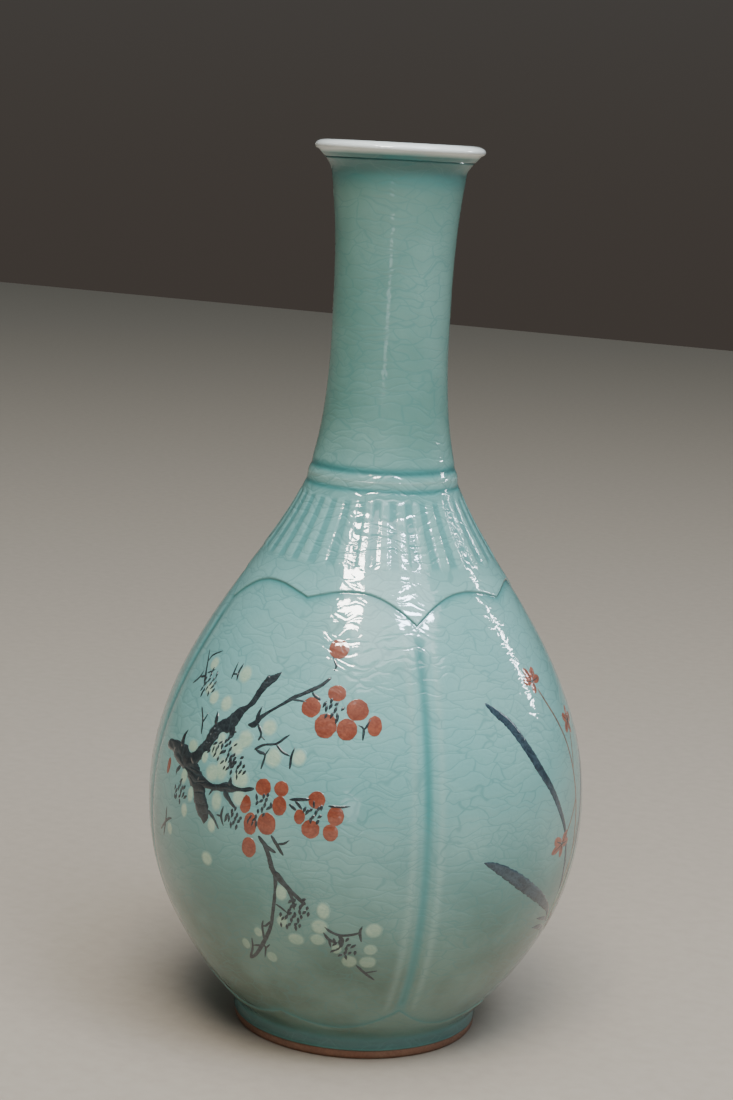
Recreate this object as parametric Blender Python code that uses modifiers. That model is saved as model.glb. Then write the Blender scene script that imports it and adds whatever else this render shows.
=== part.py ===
"""Pear-shaped bottle vase in crackled celadon: bare foot ring, body, neck and rolled lip, with the
coloured clay inlays that fill the pockets cut in the body's four panels.

Metres, +Z up. The origin is at the centre of the face the vase stands on. Angles go round the pot
from -Y towards +X, so the plum panel is at 0, orchid at 90, chrysanthemum at 180 and bamboo at 270."""

import math

import bmesh
import bpy
from mathutils import Matrix, Vector

MM = 0.001

# Driving dimensions of the thrown forms, in millimetres.
TOTAL_HEIGHT = 310.0
FOOT_RADIUS = 43.2
FOOT_RING_HEIGHT = 3.0
FOOT_RING_WIDTH = 8.0
FOOT_RING_CHAMFER = 0.6
FOOT_BAND_HEIGHT = 8.0
BELLY_RADIUS = 76.6
BELLY_HEIGHT = 83.0
COLLAR_RADIUS = 25.9
COLLAR_HEIGHT = 197.4
WAIST_RADIUS = 20.2
WAIST_HEIGHT = 255.0
THROAT_RADIUS = 23.0
THROAT_DROP = 10.5
LIP_RADIUS = 29.0
LIP_THICKNESS = 5.6
LIP_ROLL_WIDTH = 8.0
LIP_CROWN_RISE = 2.6
LIP_STEPS = 6
BODY_WALL = 5.5
NECK_WALL = 4.2
BASE_THICKNESS = 6.5
BASE_RECESS = 4.0
FLOOR_CORNER_SETBACK = 4.0
INSIDE_START_RISE = 6.0
NECK_BORE_START_RISE = 20.0
NECK_START_RISE = 8.0

# Curvature of each stretch of the outline: the power of the curve that joins its two ends.
LOWER_FULLNESS = 2.15
SHOULDER_FALL = 1.46
NECK_SWEEP = 3.0
THROAT_SWEEP = 2.3

# Gaps that separate pieces keep to each other.
SEAM_GAP = 0.3
INLAY_GAP = 0.25

# Turned and carved relief.
COLLAR_GROOVE_OFFSET = 3.0
COLLAR_GROOVE_HALF_WIDTH = 1.3
COLLAR_GROOVE_DEPTH = 0.6
FLUTE_COUNT = 34
FLUTE_LOW_END = 170.0
FLUTE_COLLAR_GAP = 5.6
FLUTE_HALF_WIDTH_TOP = 1.1
FLUTE_HALF_WIDTH_LOW = 1.9
FLUTE_DEPTH = 0.6
PANEL_COUNT = 4
PANEL_GROOVE_HALF_WIDTH = 1.9
PANEL_GROOVE_DEPTH = 0.7
PANEL_CUSP_HEIGHT = 154.0
PANEL_LOBE_HEIGHT = 162.6
PANEL_MID_HEIGHT = 159.5
PANEL_LINE_HALF_WIDTH = 0.8
PANEL_LINE_DEPTH = 0.5
PANEL_FOOT_HEIGHT = 22.0
LOBE_START_ANGLE = 1.0
LOBE_SPAN_ANGLE = 43.0
LOBE_FIRST_SHARE = 0.05
LOBE_LAST_SHARE = 0.95
LOBE_ARCH_SHARE = 0.75
LOBE_ROUNDNESS = 0.6

# Inlay pockets.
POCKET_DEPTH = 1.5
CUTTER_PROUD = 1.5

# How finely each shape is divided.
SEGMENTS = 56
LOWER_ROWS = 6
SHOULDER_ROWS = 8
INNER_LOWER_ROWS = 4
INNER_ROWS = 5
INNER_ROW_CLEARANCE = 2.0
NECK_LOWER_ROWS = 5
NECK_UPPER_ROWS = 4
FLUTE_ROWS = 2
PANEL_GROOVE_ROWS = 7
LOBE_ROWS = 6
STROKE_SIDES = 6
SHARP_EDGE_ANGLE = 40.0

# Points this close are one point, in metres.
TURN_MERGE = 0.00001
BAR_MERGE = 0.000002

PLUM, ORCHID, CHRYSANTHEMUM, BAMBOO = 0.0, 90.0, 180.0, 270.0

# Inlaid lines. Each stroke is a list of (angle from the panel's middle, height, half width).
STROKES = {
    "plum_trunk": (PLUM, "iron_slip", [
        [(-38, 104.5, 1.5), (-32.5, 105, 2.3), (-24.5, 103.5, 3.4), (-19.5, 99.5, 2.6),
         (-17.5, 95, 2.3), (-15.5, 90.5, 2.1), (-14.5, 85, 0.8)],
        [(-22.5, 105, 2.6), (-18.5, 110, 2.2), (-16.5, 116, 2.0), (-12.5, 119, 2.2), (-9.5, 124, 1.4),
         (-6.5, 127.5, 1.0), (-4, 133.5, 1.4), (-0.5, 136, 0.8)],
        [(-17, 98.5, 1.8), (-12, 98, 1.2), (-8, 99, 1.5), (-4.6, 99.5, 0.8)],
    ]),
    "plum_long_twig": (PLUM, "iron_slip", [
        [(-5, 120, 0.8), (2, 126.2, 0.9), (5.5, 129.5, 0.9), (9, 132, 0.7)],
    ]),
    "plum_middle_twig": (PLUM, "iron_slip", [
        [(-2, 112.5, 0.7), (4, 116, 0.8), (8, 118.5, 0.7)],
    ]),
    "plum_top_twig": (PLUM, "iron_slip", [
        [(-36.5, 136.5, 0.7), (-31.8, 131, 0.8), (-28.8, 125.5, 0.7)],
    ]),
    "plum_lower_spray": (PLUM, "iron_slip", [
        [(3.4, 83.8, 0.8), (6.3, 77.5, 0.9), (7.7, 72, 0.9), (6.7, 63, 0.8), (4, 50, 0.7)],
        [(7.5, 73.5, 0.8), (14.5, 66, 0.7)],
    ]),
    "plum_right_spray": (PLUM, "iron_slip", [
        [(20.4, 58, 0.7), (23.6, 54.5, 0.8), (28.5, 54, 0.7)],
    ]),
    "orchid_leaf_1": (ORCHID, "blue_slip", [
        [(7.6, 47, 1.0), (6.2, 62, 1.2), (4, 77, 1.2), (-1.5, 92, 1.4), (-9, 106.5, 1.7),
         (-18, 122.5, 1.6), (-25.2, 130, 0.7)],
    ]),
    "orchid_leaf_2": (ORCHID, "blue_slip", [
        [(2.4, 53, 0.9), (-3, 58.5, 1.7), (-9.5, 64, 2.2), (-16, 69.5, 2.4), (-22, 74.5, 2.0),
         (-26, 77.5, 1.4), (-29.2, 79.5, 0.7)],
    ]),
    "orchid_leaf_3": (ORCHID, "blue_slip", [
        [(10.5, 46, 0.9), (13.5, 70, 1.5), (20, 97, 1.7), (33, 114, 0.7)],
    ]),
    "orchid_leaf_4": (ORCHID, "blue_slip", [
        [(15, 44, 0.9), (22, 58, 1.5), (34, 63, 0.7)],
    ]),
    "orchid_leaf_5": (ORCHID, "blue_slip", [
        [(-3.5, 48.5, 0.7), (0.8, 47.5, 1.1), (4.6, 45.5, 0.8)],
    ]),
    "orchid_flower_stem": (ORCHID, "brown_slip", [
        [(10.3, 68, 0.7), (10.8, 90, 0.7), (8.5, 112, 0.7), (2, 128, 0.7)],
    ]),
    "chrysanthemum_stem": (CHRYSANTHEMUM, "iron_slip", [
        [(1, 30, 1.1), (-2.5, 58, 1.1), (1, 86, 1.0), (-2, 110, 0.8)],
        [(0, 78, 0.9), (-10, 86, 0.8), (-16, 95, 0.7)],
        [(-2, 62, 0.9), (9, 69, 0.8), (15, 79, 0.7)],
    ]),
    "chrysanthemum_leaf_1": (CHRYSANTHEMUM, "blue_slip", [
        [(-6, 58, 0.8), (-11, 61, 2.0), (-17, 60, 0.7)],
    ]),
    "chrysanthemum_leaf_2": (CHRYSANTHEMUM, "blue_slip", [
        [(4, 52, 0.8), (9, 51, 2.0), (15, 46, 0.7)],
    ]),
    "chrysanthemum_leaf_3": (CHRYSANTHEMUM, "blue_slip", [
        [(-3.5, 44, 0.8), (-8, 41, 2.0), (-14, 42, 0.7)],
    ]),
    "chrysanthemum_leaf_4": (CHRYSANTHEMUM, "blue_slip", [
        [(4.5, 96, 0.8), (9, 102, 2.0), (16, 105, 0.7)],
    ]),
    "chrysanthemum_leaf_5": (CHRYSANTHEMUM, "blue_slip", [
        [(-8, 78, 0.8), (-14, 75, 2.0), (-21, 77, 0.7)],
    ]),
    "bamboo_stalk_1": (BAMBOO, "iron_slip", [
        [(-9, 28, 1.8), (-8, 57, 1.5), (-7.8, 60, 2.0), (-7.6, 63, 1.5), (-5, 97, 1.4),
         (-4.8, 100, 1.8), (-4.6, 103, 1.3), (0, 145, 1.0)],
    ]),
    "bamboo_stalk_2": (BAMBOO, "iron_slip", [
        [(10, 30, 1.3), (11, 50, 1.1), (11.2, 53, 1.5), (11.4, 56, 1.1), (13, 92, 0.9)],
    ]),
}

# Free bamboo leaves: (angle, height) at the stem end, then at the tip.
BAMBOO_LEAVES = [
    ((-11, 112), (-27, 104)),
    ((-10, 118), (-30, 121)),
    ((-9, 124), (-24, 136)),
    ((4, 120), (18, 111)),
    ((6, 126), (24, 127)),
    ((6, 132), (20, 141)),
    ((17, 95), (31, 86)),
    ((17, 100), (32, 102)),
    ((-13, 70), (-28, 62)),
    ((-13, 76), (-30, 77)),
]
BAMBOO_LEAF_HALF_WIDTH = 1.7
LEAF_TIP_HALF_WIDTH = 0.7

# Inlaid blossoms: angle from the panel's middle, height, radius and number of petals.
BLOSSOMS = {
    "plum_red_blossom_1": (PLUM, "copper_slip", 19, 127.3, 8.4, 5),
    "plum_red_blossom_2": (PLUM, "copper_slip", 3, 95.3, 8.2, 5),
    "plum_red_blossom_3": (PLUM, "copper_slip", 17.8, 94.6, 7.6, 5),
    "plum_red_bud_1": (PLUM, "copper_slip", 30.5, 123.5, 2.4, 1),
    "plum_red_bud_2": (PLUM, "copper_slip", 18.2, 145.5, 3.0, 1),
    "plum_red_bud_3": (PLUM, "copper_slip", -1.5, 80.5, 2.5, 1),
    "plum_red_bud_4": (PLUM, "copper_slip", -34, 97, 2.5, 1),
    "plum_white_blossom_1": (PLUM, "white_slip", -10.6, 108, 6.0, 5),
    "plum_white_blossom_2": (PLUM, "white_slip", -14.5, 129, 5.0, 5),
    "plum_white_blossom_3": (PLUM, "white_slip", -25.5, 132, 3.8, 5),
    "plum_white_blossom_4": (PLUM, "white_slip", -24.5, 91, 4.4, 5),
    "plum_white_blossom_5": (PLUM, "white_slip", 7, 108, 4.8, 5),
    "plum_white_blossom_6": (PLUM, "white_slip", -9.4, 89, 3.6, 5),
    "plum_white_blossom_7": (PLUM, "white_slip", -12, 71.5, 4.0, 5),
    "plum_white_blossom_8": (PLUM, "white_slip", -3, 44, 4.6, 5),
    "plum_white_blossom_9": (PLUM, "white_slip", 13, 51, 5.0, 5),
    "plum_white_blossom_10": (PLUM, "white_slip", 30, 44, 5.0, 5),
    "orchid_flower_1": (ORCHID, "brown_slip", -6.6, 80, 4.2, 5),
    "orchid_flower_2": (ORCHID, "brown_slip", 15, 117, 4.4, 5),
    "orchid_flower_3": (ORCHID, "brown_slip", -2, 134, 4.0, 5),
    "chrysanthemum_flower_1": (CHRYSANTHEMUM, "white_slip", -2, 123, 9.0, 12),
    "chrysanthemum_flower_2": (CHRYSANTHEMUM, "white_slip", -18.5, 106, 7.6, 10),
    "chrysanthemum_flower_3": (CHRYSANTHEMUM, "white_slip", 18, 88, 8.0, 11),
}
PETAL_NOTCH = 0.256
POINTS_PER_PETAL = 4
BUD_POINTS = 10

# Material: colour, roughness and metallic value.
MATERIALS = {
    "bare_clay": ((0.30, 0.15, 0.10), 0.75, 0.0),
    "celadon": ((0.36, 0.52, 0.47), 0.18, 0.0),
    "white_glaze": ((0.80, 0.84, 0.82), 0.2, 0.0),
    "iron_slip": ((0.025, 0.028, 0.028), 0.2, 0.0),
    "blue_slip": ((0.03, 0.05, 0.08), 0.2, 0.0),
    "brown_slip": ((0.22, 0.08, 0.05), 0.2, 0.0),
    "copper_slip": ((0.45, 0.13, 0.07), 0.2, 0.0),
    "white_slip": ((0.52, 0.64, 0.54), 0.2, 0.0),
}


def clear_scene():
    for obj in list(bpy.data.objects):
        bpy.data.objects.remove(obj, do_unlink=True)


def new_collection(name, parent):
    collection = bpy.data.collections.new(name)
    parent.children.link(collection)
    return collection


def make_material(name):
    colour, roughness, metallic = MATERIALS[name]
    material = bpy.data.materials.new(name)
    material.use_nodes = True
    shader = material.node_tree.nodes["Principled BSDF"]
    shader.inputs["Base Color"].default_value = (*colour, 1.0)
    shader.inputs["Roughness"].default_value = roughness
    shader.inputs["Metallic"].default_value = metallic
    return material


def throat_height():
    return TOTAL_HEIGHT - THROAT_DROP


def lip_seam_height():
    return TOTAL_HEIGHT - LIP_THICKNESS


def outer_radius(height):
    """Radius of the glazed outside at this height, in millimetres."""
    if height <= FOOT_BAND_HEIGHT:
        return FOOT_RADIUS
    if height <= BELLY_HEIGHT:
        rise = (height - FOOT_BAND_HEIGHT) / (BELLY_HEIGHT - FOOT_BAND_HEIGHT)
        return FOOT_RADIUS + (BELLY_RADIUS - FOOT_RADIUS) * (1 - (1 - rise) ** LOWER_FULLNESS)
    if height <= COLLAR_HEIGHT:
        rise = (height - BELLY_HEIGHT) / (COLLAR_HEIGHT - BELLY_HEIGHT)
        return COLLAR_RADIUS + (BELLY_RADIUS - COLLAR_RADIUS) * (1 - rise * rise) ** SHOULDER_FALL
    if height <= WAIST_HEIGHT:
        rise = (height - COLLAR_HEIGHT) / (WAIST_HEIGHT - COLLAR_HEIGHT)
        return WAIST_RADIUS + (COLLAR_RADIUS - WAIST_RADIUS) * (1 - rise) ** NECK_SWEEP
    if height <= throat_height():
        rise = (height - WAIST_HEIGHT) / (throat_height() - WAIST_HEIGHT)
        return WAIST_RADIUS + (THROAT_RADIUS - WAIST_RADIUS) * rise ** THROAT_SWEEP
    rise = (height - throat_height()) / THROAT_DROP
    return THROAT_RADIUS + (LIP_RADIUS - THROAT_RADIUS) * math.sin(rise * math.pi / 2) ** 2


def wall_normal(height):
    """Unit normal of the outside in the (radius, height) plane."""
    step = 0.5
    change = (outer_radius(height + step) - outer_radius(height - step)) / (2 * step)
    length = math.hypot(1.0, change)
    return 1.0 / length, -change / length


def inner_point(height, wall):
    """The point of the inside face that is one wall thickness in from the outside at this height."""
    across, up = wall_normal(height)
    return outer_radius(height) - wall * across, height - wall * up


def between(low, high, count):
    return [low + (high - low) * i / count for i in range(count + 1)]


def on_wall(angle, height, lift):
    """World point this far out from the glazed outside."""
    across, up = wall_normal(height)
    radius = (outer_radius(height) + lift * across) * MM
    turn = math.radians(angle)
    return Vector((radius * math.sin(turn), -radius * math.cos(turn), (height + lift * up) * MM))


def wall_frame(angle, height):
    """Matrix whose Z points straight out of the wall, X round the pot and Y up it."""
    across, up = wall_normal(height)
    turn = math.radians(angle)
    out = Vector((across * math.sin(turn), -across * math.cos(turn), up))
    side = Vector((math.cos(turn), math.sin(turn), 0.0))
    rise = out.cross(side)
    matrix = Matrix((side, rise, out)).transposed().to_4x4()
    matrix.translation = on_wall(angle, height, 0.0)
    return matrix


def add_object(name, mesh, collection, material=None):
    obj = bpy.data.objects.new(name, mesh)
    collection.objects.link(obj)
    if material:
        mesh.materials.append(material)
    return obj


def as_cutter(obj):
    obj.hide_render = True
    obj.display_type = "WIRE"
    return obj


def made_mesh(name, guide):
    """The guide's evaluated shape as a mesh of its own; the guide is removed."""
    bpy.context.view_layer.update()
    evaluated = guide.evaluated_get(bpy.context.evaluated_depsgraph_get())
    mesh = bpy.data.meshes.new_from_object(evaluated)
    mesh.name = name
    bpy.data.objects.remove(guide, do_unlink=True)
    return mesh


def turned(name, profile, collection, material=None):
    """A turned solid. The profile is (radius, height) in millimetres, down the outside, then back up
    the inside; it is closed unless both its ends are on the axis."""
    on_axis = profile[0][0] == 0 and profile[-1][0] == 0
    bm = bmesh.new()
    verts = [bm.verts.new((radius * MM, 0.0, height * MM)) for radius, height in profile]
    for first, second in zip(verts, verts[1:]):
        bm.edges.new((first, second))
    if not on_axis:
        bm.edges.new((verts[-1], verts[0]))
    mesh = bpy.data.meshes.new(name)
    bm.to_mesh(mesh)
    bm.free()
    outline = add_object(name + "_outline", mesh, collection)
    screw = outline.modifiers.new("turn", "SCREW")
    screw.steps = SEGMENTS
    screw.render_steps = SEGMENTS
    screw.use_merge_vertices = True
    screw.merge_threshold = TURN_MERGE
    screw.use_smooth_shade = True
    solid = made_mesh(name, outline)
    solid.set_sharp_from_angle(angle=math.radians(SHARP_EDGE_ANGLE))
    return add_object(name, solid, collection, material)


def boolean(obj, operation, other, self_crossing=False):
    modifier = obj.modifiers.new(f"{operation.lower()}_{other.name}", "BOOLEAN")
    modifier.operation = operation
    modifier.solver = "EXACT"
    modifier.use_self = self_crossing
    if isinstance(other, bpy.types.Collection):
        modifier.operand_type = "COLLECTION"
        modifier.collection = other
    else:
        modifier.object = other


def tubes(name, routes, collection, sides=4):
    """One mesh of round bars. Each route is a list of (world point, radius in metres)."""
    curve = bpy.data.curves.new(name + "_route", "CURVE")
    curve.dimensions = "3D"
    curve.bevel_depth = 1.0
    curve.bevel_resolution = sides // 2 - 2
    curve.use_fill_caps = True
    for route in routes:
        spline = curve.splines.new("POLY")
        spline.points.add(len(route) - 1)
        for spot, (point, radius) in zip(spline.points, route):
            spot.co = (*point, 1.0)
            spot.radius = radius
    guide = bpy.data.objects.new(name + "_route", curve)
    collection.objects.link(guide)
    mesh = made_mesh(name, guide)
    bm = bmesh.new()
    bm.from_mesh(mesh)
    bmesh.ops.remove_doubles(bm, verts=bm.verts, dist=BAR_MERGE)
    bmesh.ops.recalc_face_normals(bm, faces=bm.faces)
    bm.to_mesh(mesh)
    bm.free()
    return add_object(name, mesh, collection)


def bar(angle, height, half_width, depth, shrink=0.0):
    """Centre and radius of a round bar that cuts the wall this wide and this deep."""
    depth = min(depth, half_width)
    radius = (half_width ** 2 + depth ** 2) / (2 * depth)
    return on_wall(angle, height, radius - depth), (radius - shrink) * MM


def flower_prism(name, petals, radius, depth, collection):
    """A flat flower outline, extruded from below the wall to just proud of it."""
    count = petals * POINTS_PER_PETAL if petals > 1 else BUD_POINTS
    notch = PETAL_NOTCH if petals > 1 else 0.0
    bm = bmesh.new()
    bmesh.ops.create_circle(bm, segments=count, radius=radius * MM, cap_ends=True)
    for vert in bm.verts:
        turn = math.atan2(vert.co.y, vert.co.x)
        dip = 1 - abs(math.cos(turn * petals / 2))
        vert.co *= 1 - notch * dip * dip
        vert.co.z = -depth * MM
    lifted = bmesh.ops.extrude_face_region(bm, geom=bm.faces[:])
    tops = [item for item in lifted["geom"] if isinstance(item, bmesh.types.BMVert)]
    bmesh.ops.translate(bm, verts=tops, vec=(0, 0, (depth + CUTTER_PROUD) * MM))
    bmesh.ops.recalc_face_normals(bm, faces=bm.faces)
    mesh = bpy.data.meshes.new(name)
    bm.to_mesh(mesh)
    bm.free()
    return add_object(name, mesh, collection)


def foot_ring(parts, material):
    inner = FOOT_RADIUS - FOOT_RING_WIDTH
    profile = [
        (FOOT_RADIUS, FOOT_RING_HEIGHT),
        (FOOT_RADIUS, FOOT_RING_CHAMFER),
        (FOOT_RADIUS - FOOT_RING_CHAMFER, 0.0),
        (inner + FOOT_RING_CHAMFER, 0.0),
        (inner, FOOT_RING_CHAMFER),
        (inner, FOOT_RING_HEIGHT),
    ]
    return turned("foot_ring", profile, parts, material)


def body_rows():
    lower = between(FOOT_BAND_HEIGHT, BELLY_HEIGHT, LOWER_ROWS)
    groove_edge = COLLAR_HEIGHT - COLLAR_GROOVE_OFFSET - COLLAR_GROOVE_HALF_WIDTH
    upper = between(BELLY_HEIGHT, groove_edge, SHOULDER_ROWS)
    return lower + upper[1:]


def collar_groove(centre):
    """Three points of a turned groove, from its upper edge to its lower edge."""
    top = centre + COLLAR_GROOVE_HALF_WIDTH
    low = centre - COLLAR_GROOVE_HALF_WIDTH
    return [
        (outer_radius(top), top),
        (outer_radius(centre) - COLLAR_GROOVE_DEPTH, centre),
        (outer_radius(low), low),
    ]


def body_underside():
    seat = FOOT_RING_HEIGHT + SEAM_GAP
    return [
        (FOOT_RADIUS, seat),
        (FOOT_RADIUS - FOOT_RING_WIDTH, seat),
        (FOOT_RADIUS - FOOT_RING_WIDTH - BASE_RECESS, seat + BASE_RECESS),
        (0.0, seat + BASE_RECESS),
    ]


def body_profile():
    """Open at the axis: from the axis up the inside, over the collar seam, down the outside and in."""
    floor = FOOT_RING_HEIGHT + SEAM_GAP + BASE_RECESS + BASE_THICKNESS
    start = FOOT_BAND_HEIGHT + INSIDE_START_RISE
    upper = [inner_point(height, BODY_WALL) for height in between(BELLY_HEIGHT, COLLAR_HEIGHT, INNER_ROWS)]
    upper = [point for point in upper if point[1] < COLLAR_HEIGHT - INNER_ROW_CLEARANCE / 2]
    lower = [inner_point(height, BODY_WALL) for height in between(start, BELLY_HEIGHT, INNER_LOWER_ROWS)]
    lower = [point for point in lower[:-1] if point[1] > floor + INNER_ROW_CLEARANCE]
    corner = inner_point(start, BODY_WALL)[0] - FLOOR_CORNER_SETBACK
    bore = outer_radius(COLLAR_HEIGHT) - NECK_WALL
    up_inside = [(0.0, floor), (corner, floor), *lower, *upper, (bore, COLLAR_HEIGHT)]
    rows = [(outer_radius(height), height) for height in reversed(body_rows()[:-1])]
    collar = [(outer_radius(COLLAR_HEIGHT), COLLAR_HEIGHT)]
    groove = collar_groove(COLLAR_HEIGHT - COLLAR_GROOVE_OFFSET)
    return up_inside + collar + groove + rows + body_underside()


def blank_profile():
    """The body's outside as a full solid, with the same rows as the body."""
    rows = [(outer_radius(height), height) for height in reversed(body_rows())]
    return [(0.0, rows[0][1]), *rows, *body_underside()[:1], (0.0, body_underside()[0][1])]


def neck_profile():
    low = COLLAR_HEIGHT + SEAM_GAP
    groove = collar_groove(COLLAR_HEIGHT + COLLAR_GROOVE_OFFSET)
    rows = between(COLLAR_HEIGHT + NECK_START_RISE, WAIST_HEIGHT, NECK_LOWER_ROWS)
    rows += between(WAIST_HEIGHT, throat_height(), NECK_UPPER_ROWS)[1:]
    top = lip_seam_height() - SEAM_GAP
    heights = [*rows, (throat_height() + top) / 2, top]
    outside = [(outer_radius(height), height) for height in reversed(heights)]
    inner_heights = (COLLAR_HEIGHT + NECK_BORE_START_RISE, WAIST_HEIGHT, throat_height())
    inside = [inner_point(height, NECK_WALL) for height in inner_heights]
    bore = outer_radius(COLLAR_HEIGHT) - NECK_WALL
    mouth = outer_radius(top) - NECK_WALL
    return outside + groove + [(outer_radius(low), low), (bore, low)] + inside + [(mouth, top)]


def lip_profile():
    """The rolled lip: a rounded bead over the flare, from the seam up the inside and over to the outside."""
    seam = lip_seam_height()
    reach = LIP_ROLL_WIDTH / 2
    middle = LIP_RADIUS - reach
    crown = []
    for step in range(LIP_STEPS + 1):
        turn = math.pi * step / LIP_STEPS
        height = TOTAL_HEIGHT - LIP_CROWN_RISE * (1 - math.sin(turn))
        crown.append((middle - reach * math.cos(turn), height))
    return [(outer_radius(seam), seam), (outer_radius(seam) - NECK_WALL, seam), *crown]


def flutes(cutters):
    """Hollows carved down the shoulder, with a rib left between each two."""
    top = COLLAR_HEIGHT - FLUTE_COLLAR_GAP
    heights = between(FLUTE_LOW_END, top, FLUTE_ROWS)
    routes = []
    for index in range(FLUTE_COUNT):
        angle = (index + 0.5) * 360 / FLUTE_COUNT
        route = []
        for height in heights:
            rise = (height - FLUTE_LOW_END) / (top - FLUTE_LOW_END)
            half_width = FLUTE_HALF_WIDTH_LOW + (FLUTE_HALF_WIDTH_TOP - FLUTE_HALF_WIDTH_LOW) * rise
            route.append(bar(angle, height, half_width, FLUTE_DEPTH))
        routes.append(route)
    return as_cutter(tubes("flute_cutter", routes, cutters))


def panel_grooves(cutters):
    """The four broad grooves that part the panels."""
    routes = []
    for index in range(PANEL_COUNT):
        angle = (index + 0.5) * 360 / PANEL_COUNT
        heights = between(PANEL_FOOT_HEIGHT, PANEL_CUSP_HEIGHT, PANEL_GROOVE_ROWS)
        half, depth = PANEL_GROOVE_HALF_WIDTH, PANEL_GROOVE_DEPTH
        routes.append([bar(angle, height, half, depth) for height in heights])
    return as_cutter(tubes("panel_groove_cutter", routes, cutters))


def panel_top_lines(cutters):
    """Two lobes over each panel, with a deep cusp at each panel groove and a shallow one between."""
    routes = []
    for panel in range(PANEL_COUNT):
        for side in (-1, 1):
            route = []
            for share in between(LOBE_FIRST_SHARE, LOBE_LAST_SHARE, LOBE_ROWS):
                base = PANEL_MID_HEIGHT + (PANEL_CUSP_HEIGHT - PANEL_MID_HEIGHT) * share
                arch = math.sin(math.pi * share) ** LOBE_ROUNDNESS * LOBE_ARCH_SHARE
                arch *= PANEL_LOBE_HEIGHT - PANEL_CUSP_HEIGHT
                angle = panel * 360 / PANEL_COUNT + side * (LOBE_START_ANGLE + LOBE_SPAN_ANGLE * share)
                route.append(bar(angle, base + arch, PANEL_LINE_HALF_WIDTH, PANEL_LINE_DEPTH))
            routes.append(route)
    return as_cutter(tubes("panel_line_cutter", routes, cutters))


def stroke_bars(strokes, panel, grow):
    """The bars of one inlay's strokes, all this much fatter than the inlay itself."""
    bars = []
    for stroke in strokes:
        bars.append([bar(panel + angle, height, half, POCKET_DEPTH, -grow) for angle, height, half in stroke])
    return bars


def inlay_strokes():
    """Every inlay that is drawn in strokes: name, panel angle, material name and strokes."""
    found = [(name, *entry) for name, entry in STROKES.items()]
    for index, (stem, tip) in enumerate(BAMBOO_LEAVES, start=1):
        middle = ((stem[0] + tip[0]) / 2, (stem[1] + tip[1]) / 2)
        stroke = [
            (*stem, LEAF_TIP_HALF_WIDTH),
            (*middle, BAMBOO_LEAF_HALF_WIDTH),
            (*tip, LEAF_TIP_HALF_WIDTH),
        ]
        found.append((f"bamboo_leaf_{index}", BAMBOO, "blue_slip", [stroke]))
    return found


def stroke_inlays(parts, pockets, blank, materials):
    for name, panel, material, strokes in inlay_strokes():
        joined = len(strokes) > 1
        piece = tubes(name, stroke_bars(strokes, panel, 0.0), parts, sides=STROKE_SIDES)
        piece.data.materials.append(materials[material])
        boolean(piece, "INTERSECT", blank, joined)
        pocket_bars = stroke_bars(strokes, panel, INLAY_GAP)
        as_cutter(tubes(name + "_pocket", pocket_bars, pockets, sides=STROKE_SIDES))


def blossom_inlays(parts, pockets, blank, materials):
    for name, (panel, material, angle, height, radius, petals) in BLOSSOMS.items():
        frame = wall_frame(panel + angle, height)
        piece = flower_prism(name, petals, radius, POCKET_DEPTH, parts)
        piece.data.materials.append(materials[material])
        piece.matrix_world = frame
        boolean(piece, "INTERSECT", blank)
        room = radius + INLAY_GAP
        pocket = flower_prism(name + "_pocket", petals, room, POCKET_DEPTH + INLAY_GAP, pockets)
        pocket.matrix_world = frame
        as_cutter(pocket)


def main():
    clear_scene()
    scene_root = bpy.context.scene.collection
    parts = new_collection("celadon_vase", scene_root)
    cutters = new_collection("cutters", scene_root)
    pockets = new_collection("pockets", cutters)
    materials = {name: make_material(name) for name in MATERIALS}
    foot_ring(parts, materials["bare_clay"])
    body = turned("body", body_profile(), parts, materials["celadon"])
    turned("neck", neck_profile(), parts, materials["celadon"])
    turned("mouth_rim", lip_profile(), parts, materials["white_glaze"])
    blank = as_cutter(turned("body_blank", blank_profile(), cutters))
    boolean(body, "DIFFERENCE", flutes(cutters))
    boolean(body, "DIFFERENCE", panel_grooves(cutters))
    boolean(body, "DIFFERENCE", panel_top_lines(cutters))
    stroke_inlays(parts, pockets, blank, materials)
    blossom_inlays(parts, pockets, blank, materials)
    boolean(body, "DIFFERENCE", pockets, True)


main()
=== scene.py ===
"""Finish of a pear-shaped bottle vase: thrown stoneware under crackled celadon glaze.

Four carved panels hold slip-inlaid plum, orchid, chrysanthemum and bamboo. Sizes are in millimetres and
angles in degrees, turned from -Y towards +X, unless a name says otherwise.
"""

import math
import random

import bmesh
import bpy
from mathutils import Matrix, Vector, noise


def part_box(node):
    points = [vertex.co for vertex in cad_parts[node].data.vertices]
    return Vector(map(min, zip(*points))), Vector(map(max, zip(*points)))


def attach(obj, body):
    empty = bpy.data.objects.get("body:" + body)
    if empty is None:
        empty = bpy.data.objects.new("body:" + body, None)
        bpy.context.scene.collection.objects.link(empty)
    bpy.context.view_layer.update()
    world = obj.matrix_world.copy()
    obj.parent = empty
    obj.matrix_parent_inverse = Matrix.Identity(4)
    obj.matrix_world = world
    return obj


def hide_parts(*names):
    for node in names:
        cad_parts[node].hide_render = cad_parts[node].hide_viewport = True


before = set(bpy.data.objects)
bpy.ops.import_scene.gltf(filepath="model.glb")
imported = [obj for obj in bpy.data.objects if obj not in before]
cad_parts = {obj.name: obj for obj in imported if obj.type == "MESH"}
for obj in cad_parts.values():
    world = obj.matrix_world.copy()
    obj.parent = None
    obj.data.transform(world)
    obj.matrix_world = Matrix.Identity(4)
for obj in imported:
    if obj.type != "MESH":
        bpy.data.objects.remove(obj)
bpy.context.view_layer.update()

MM = 0.001

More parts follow.
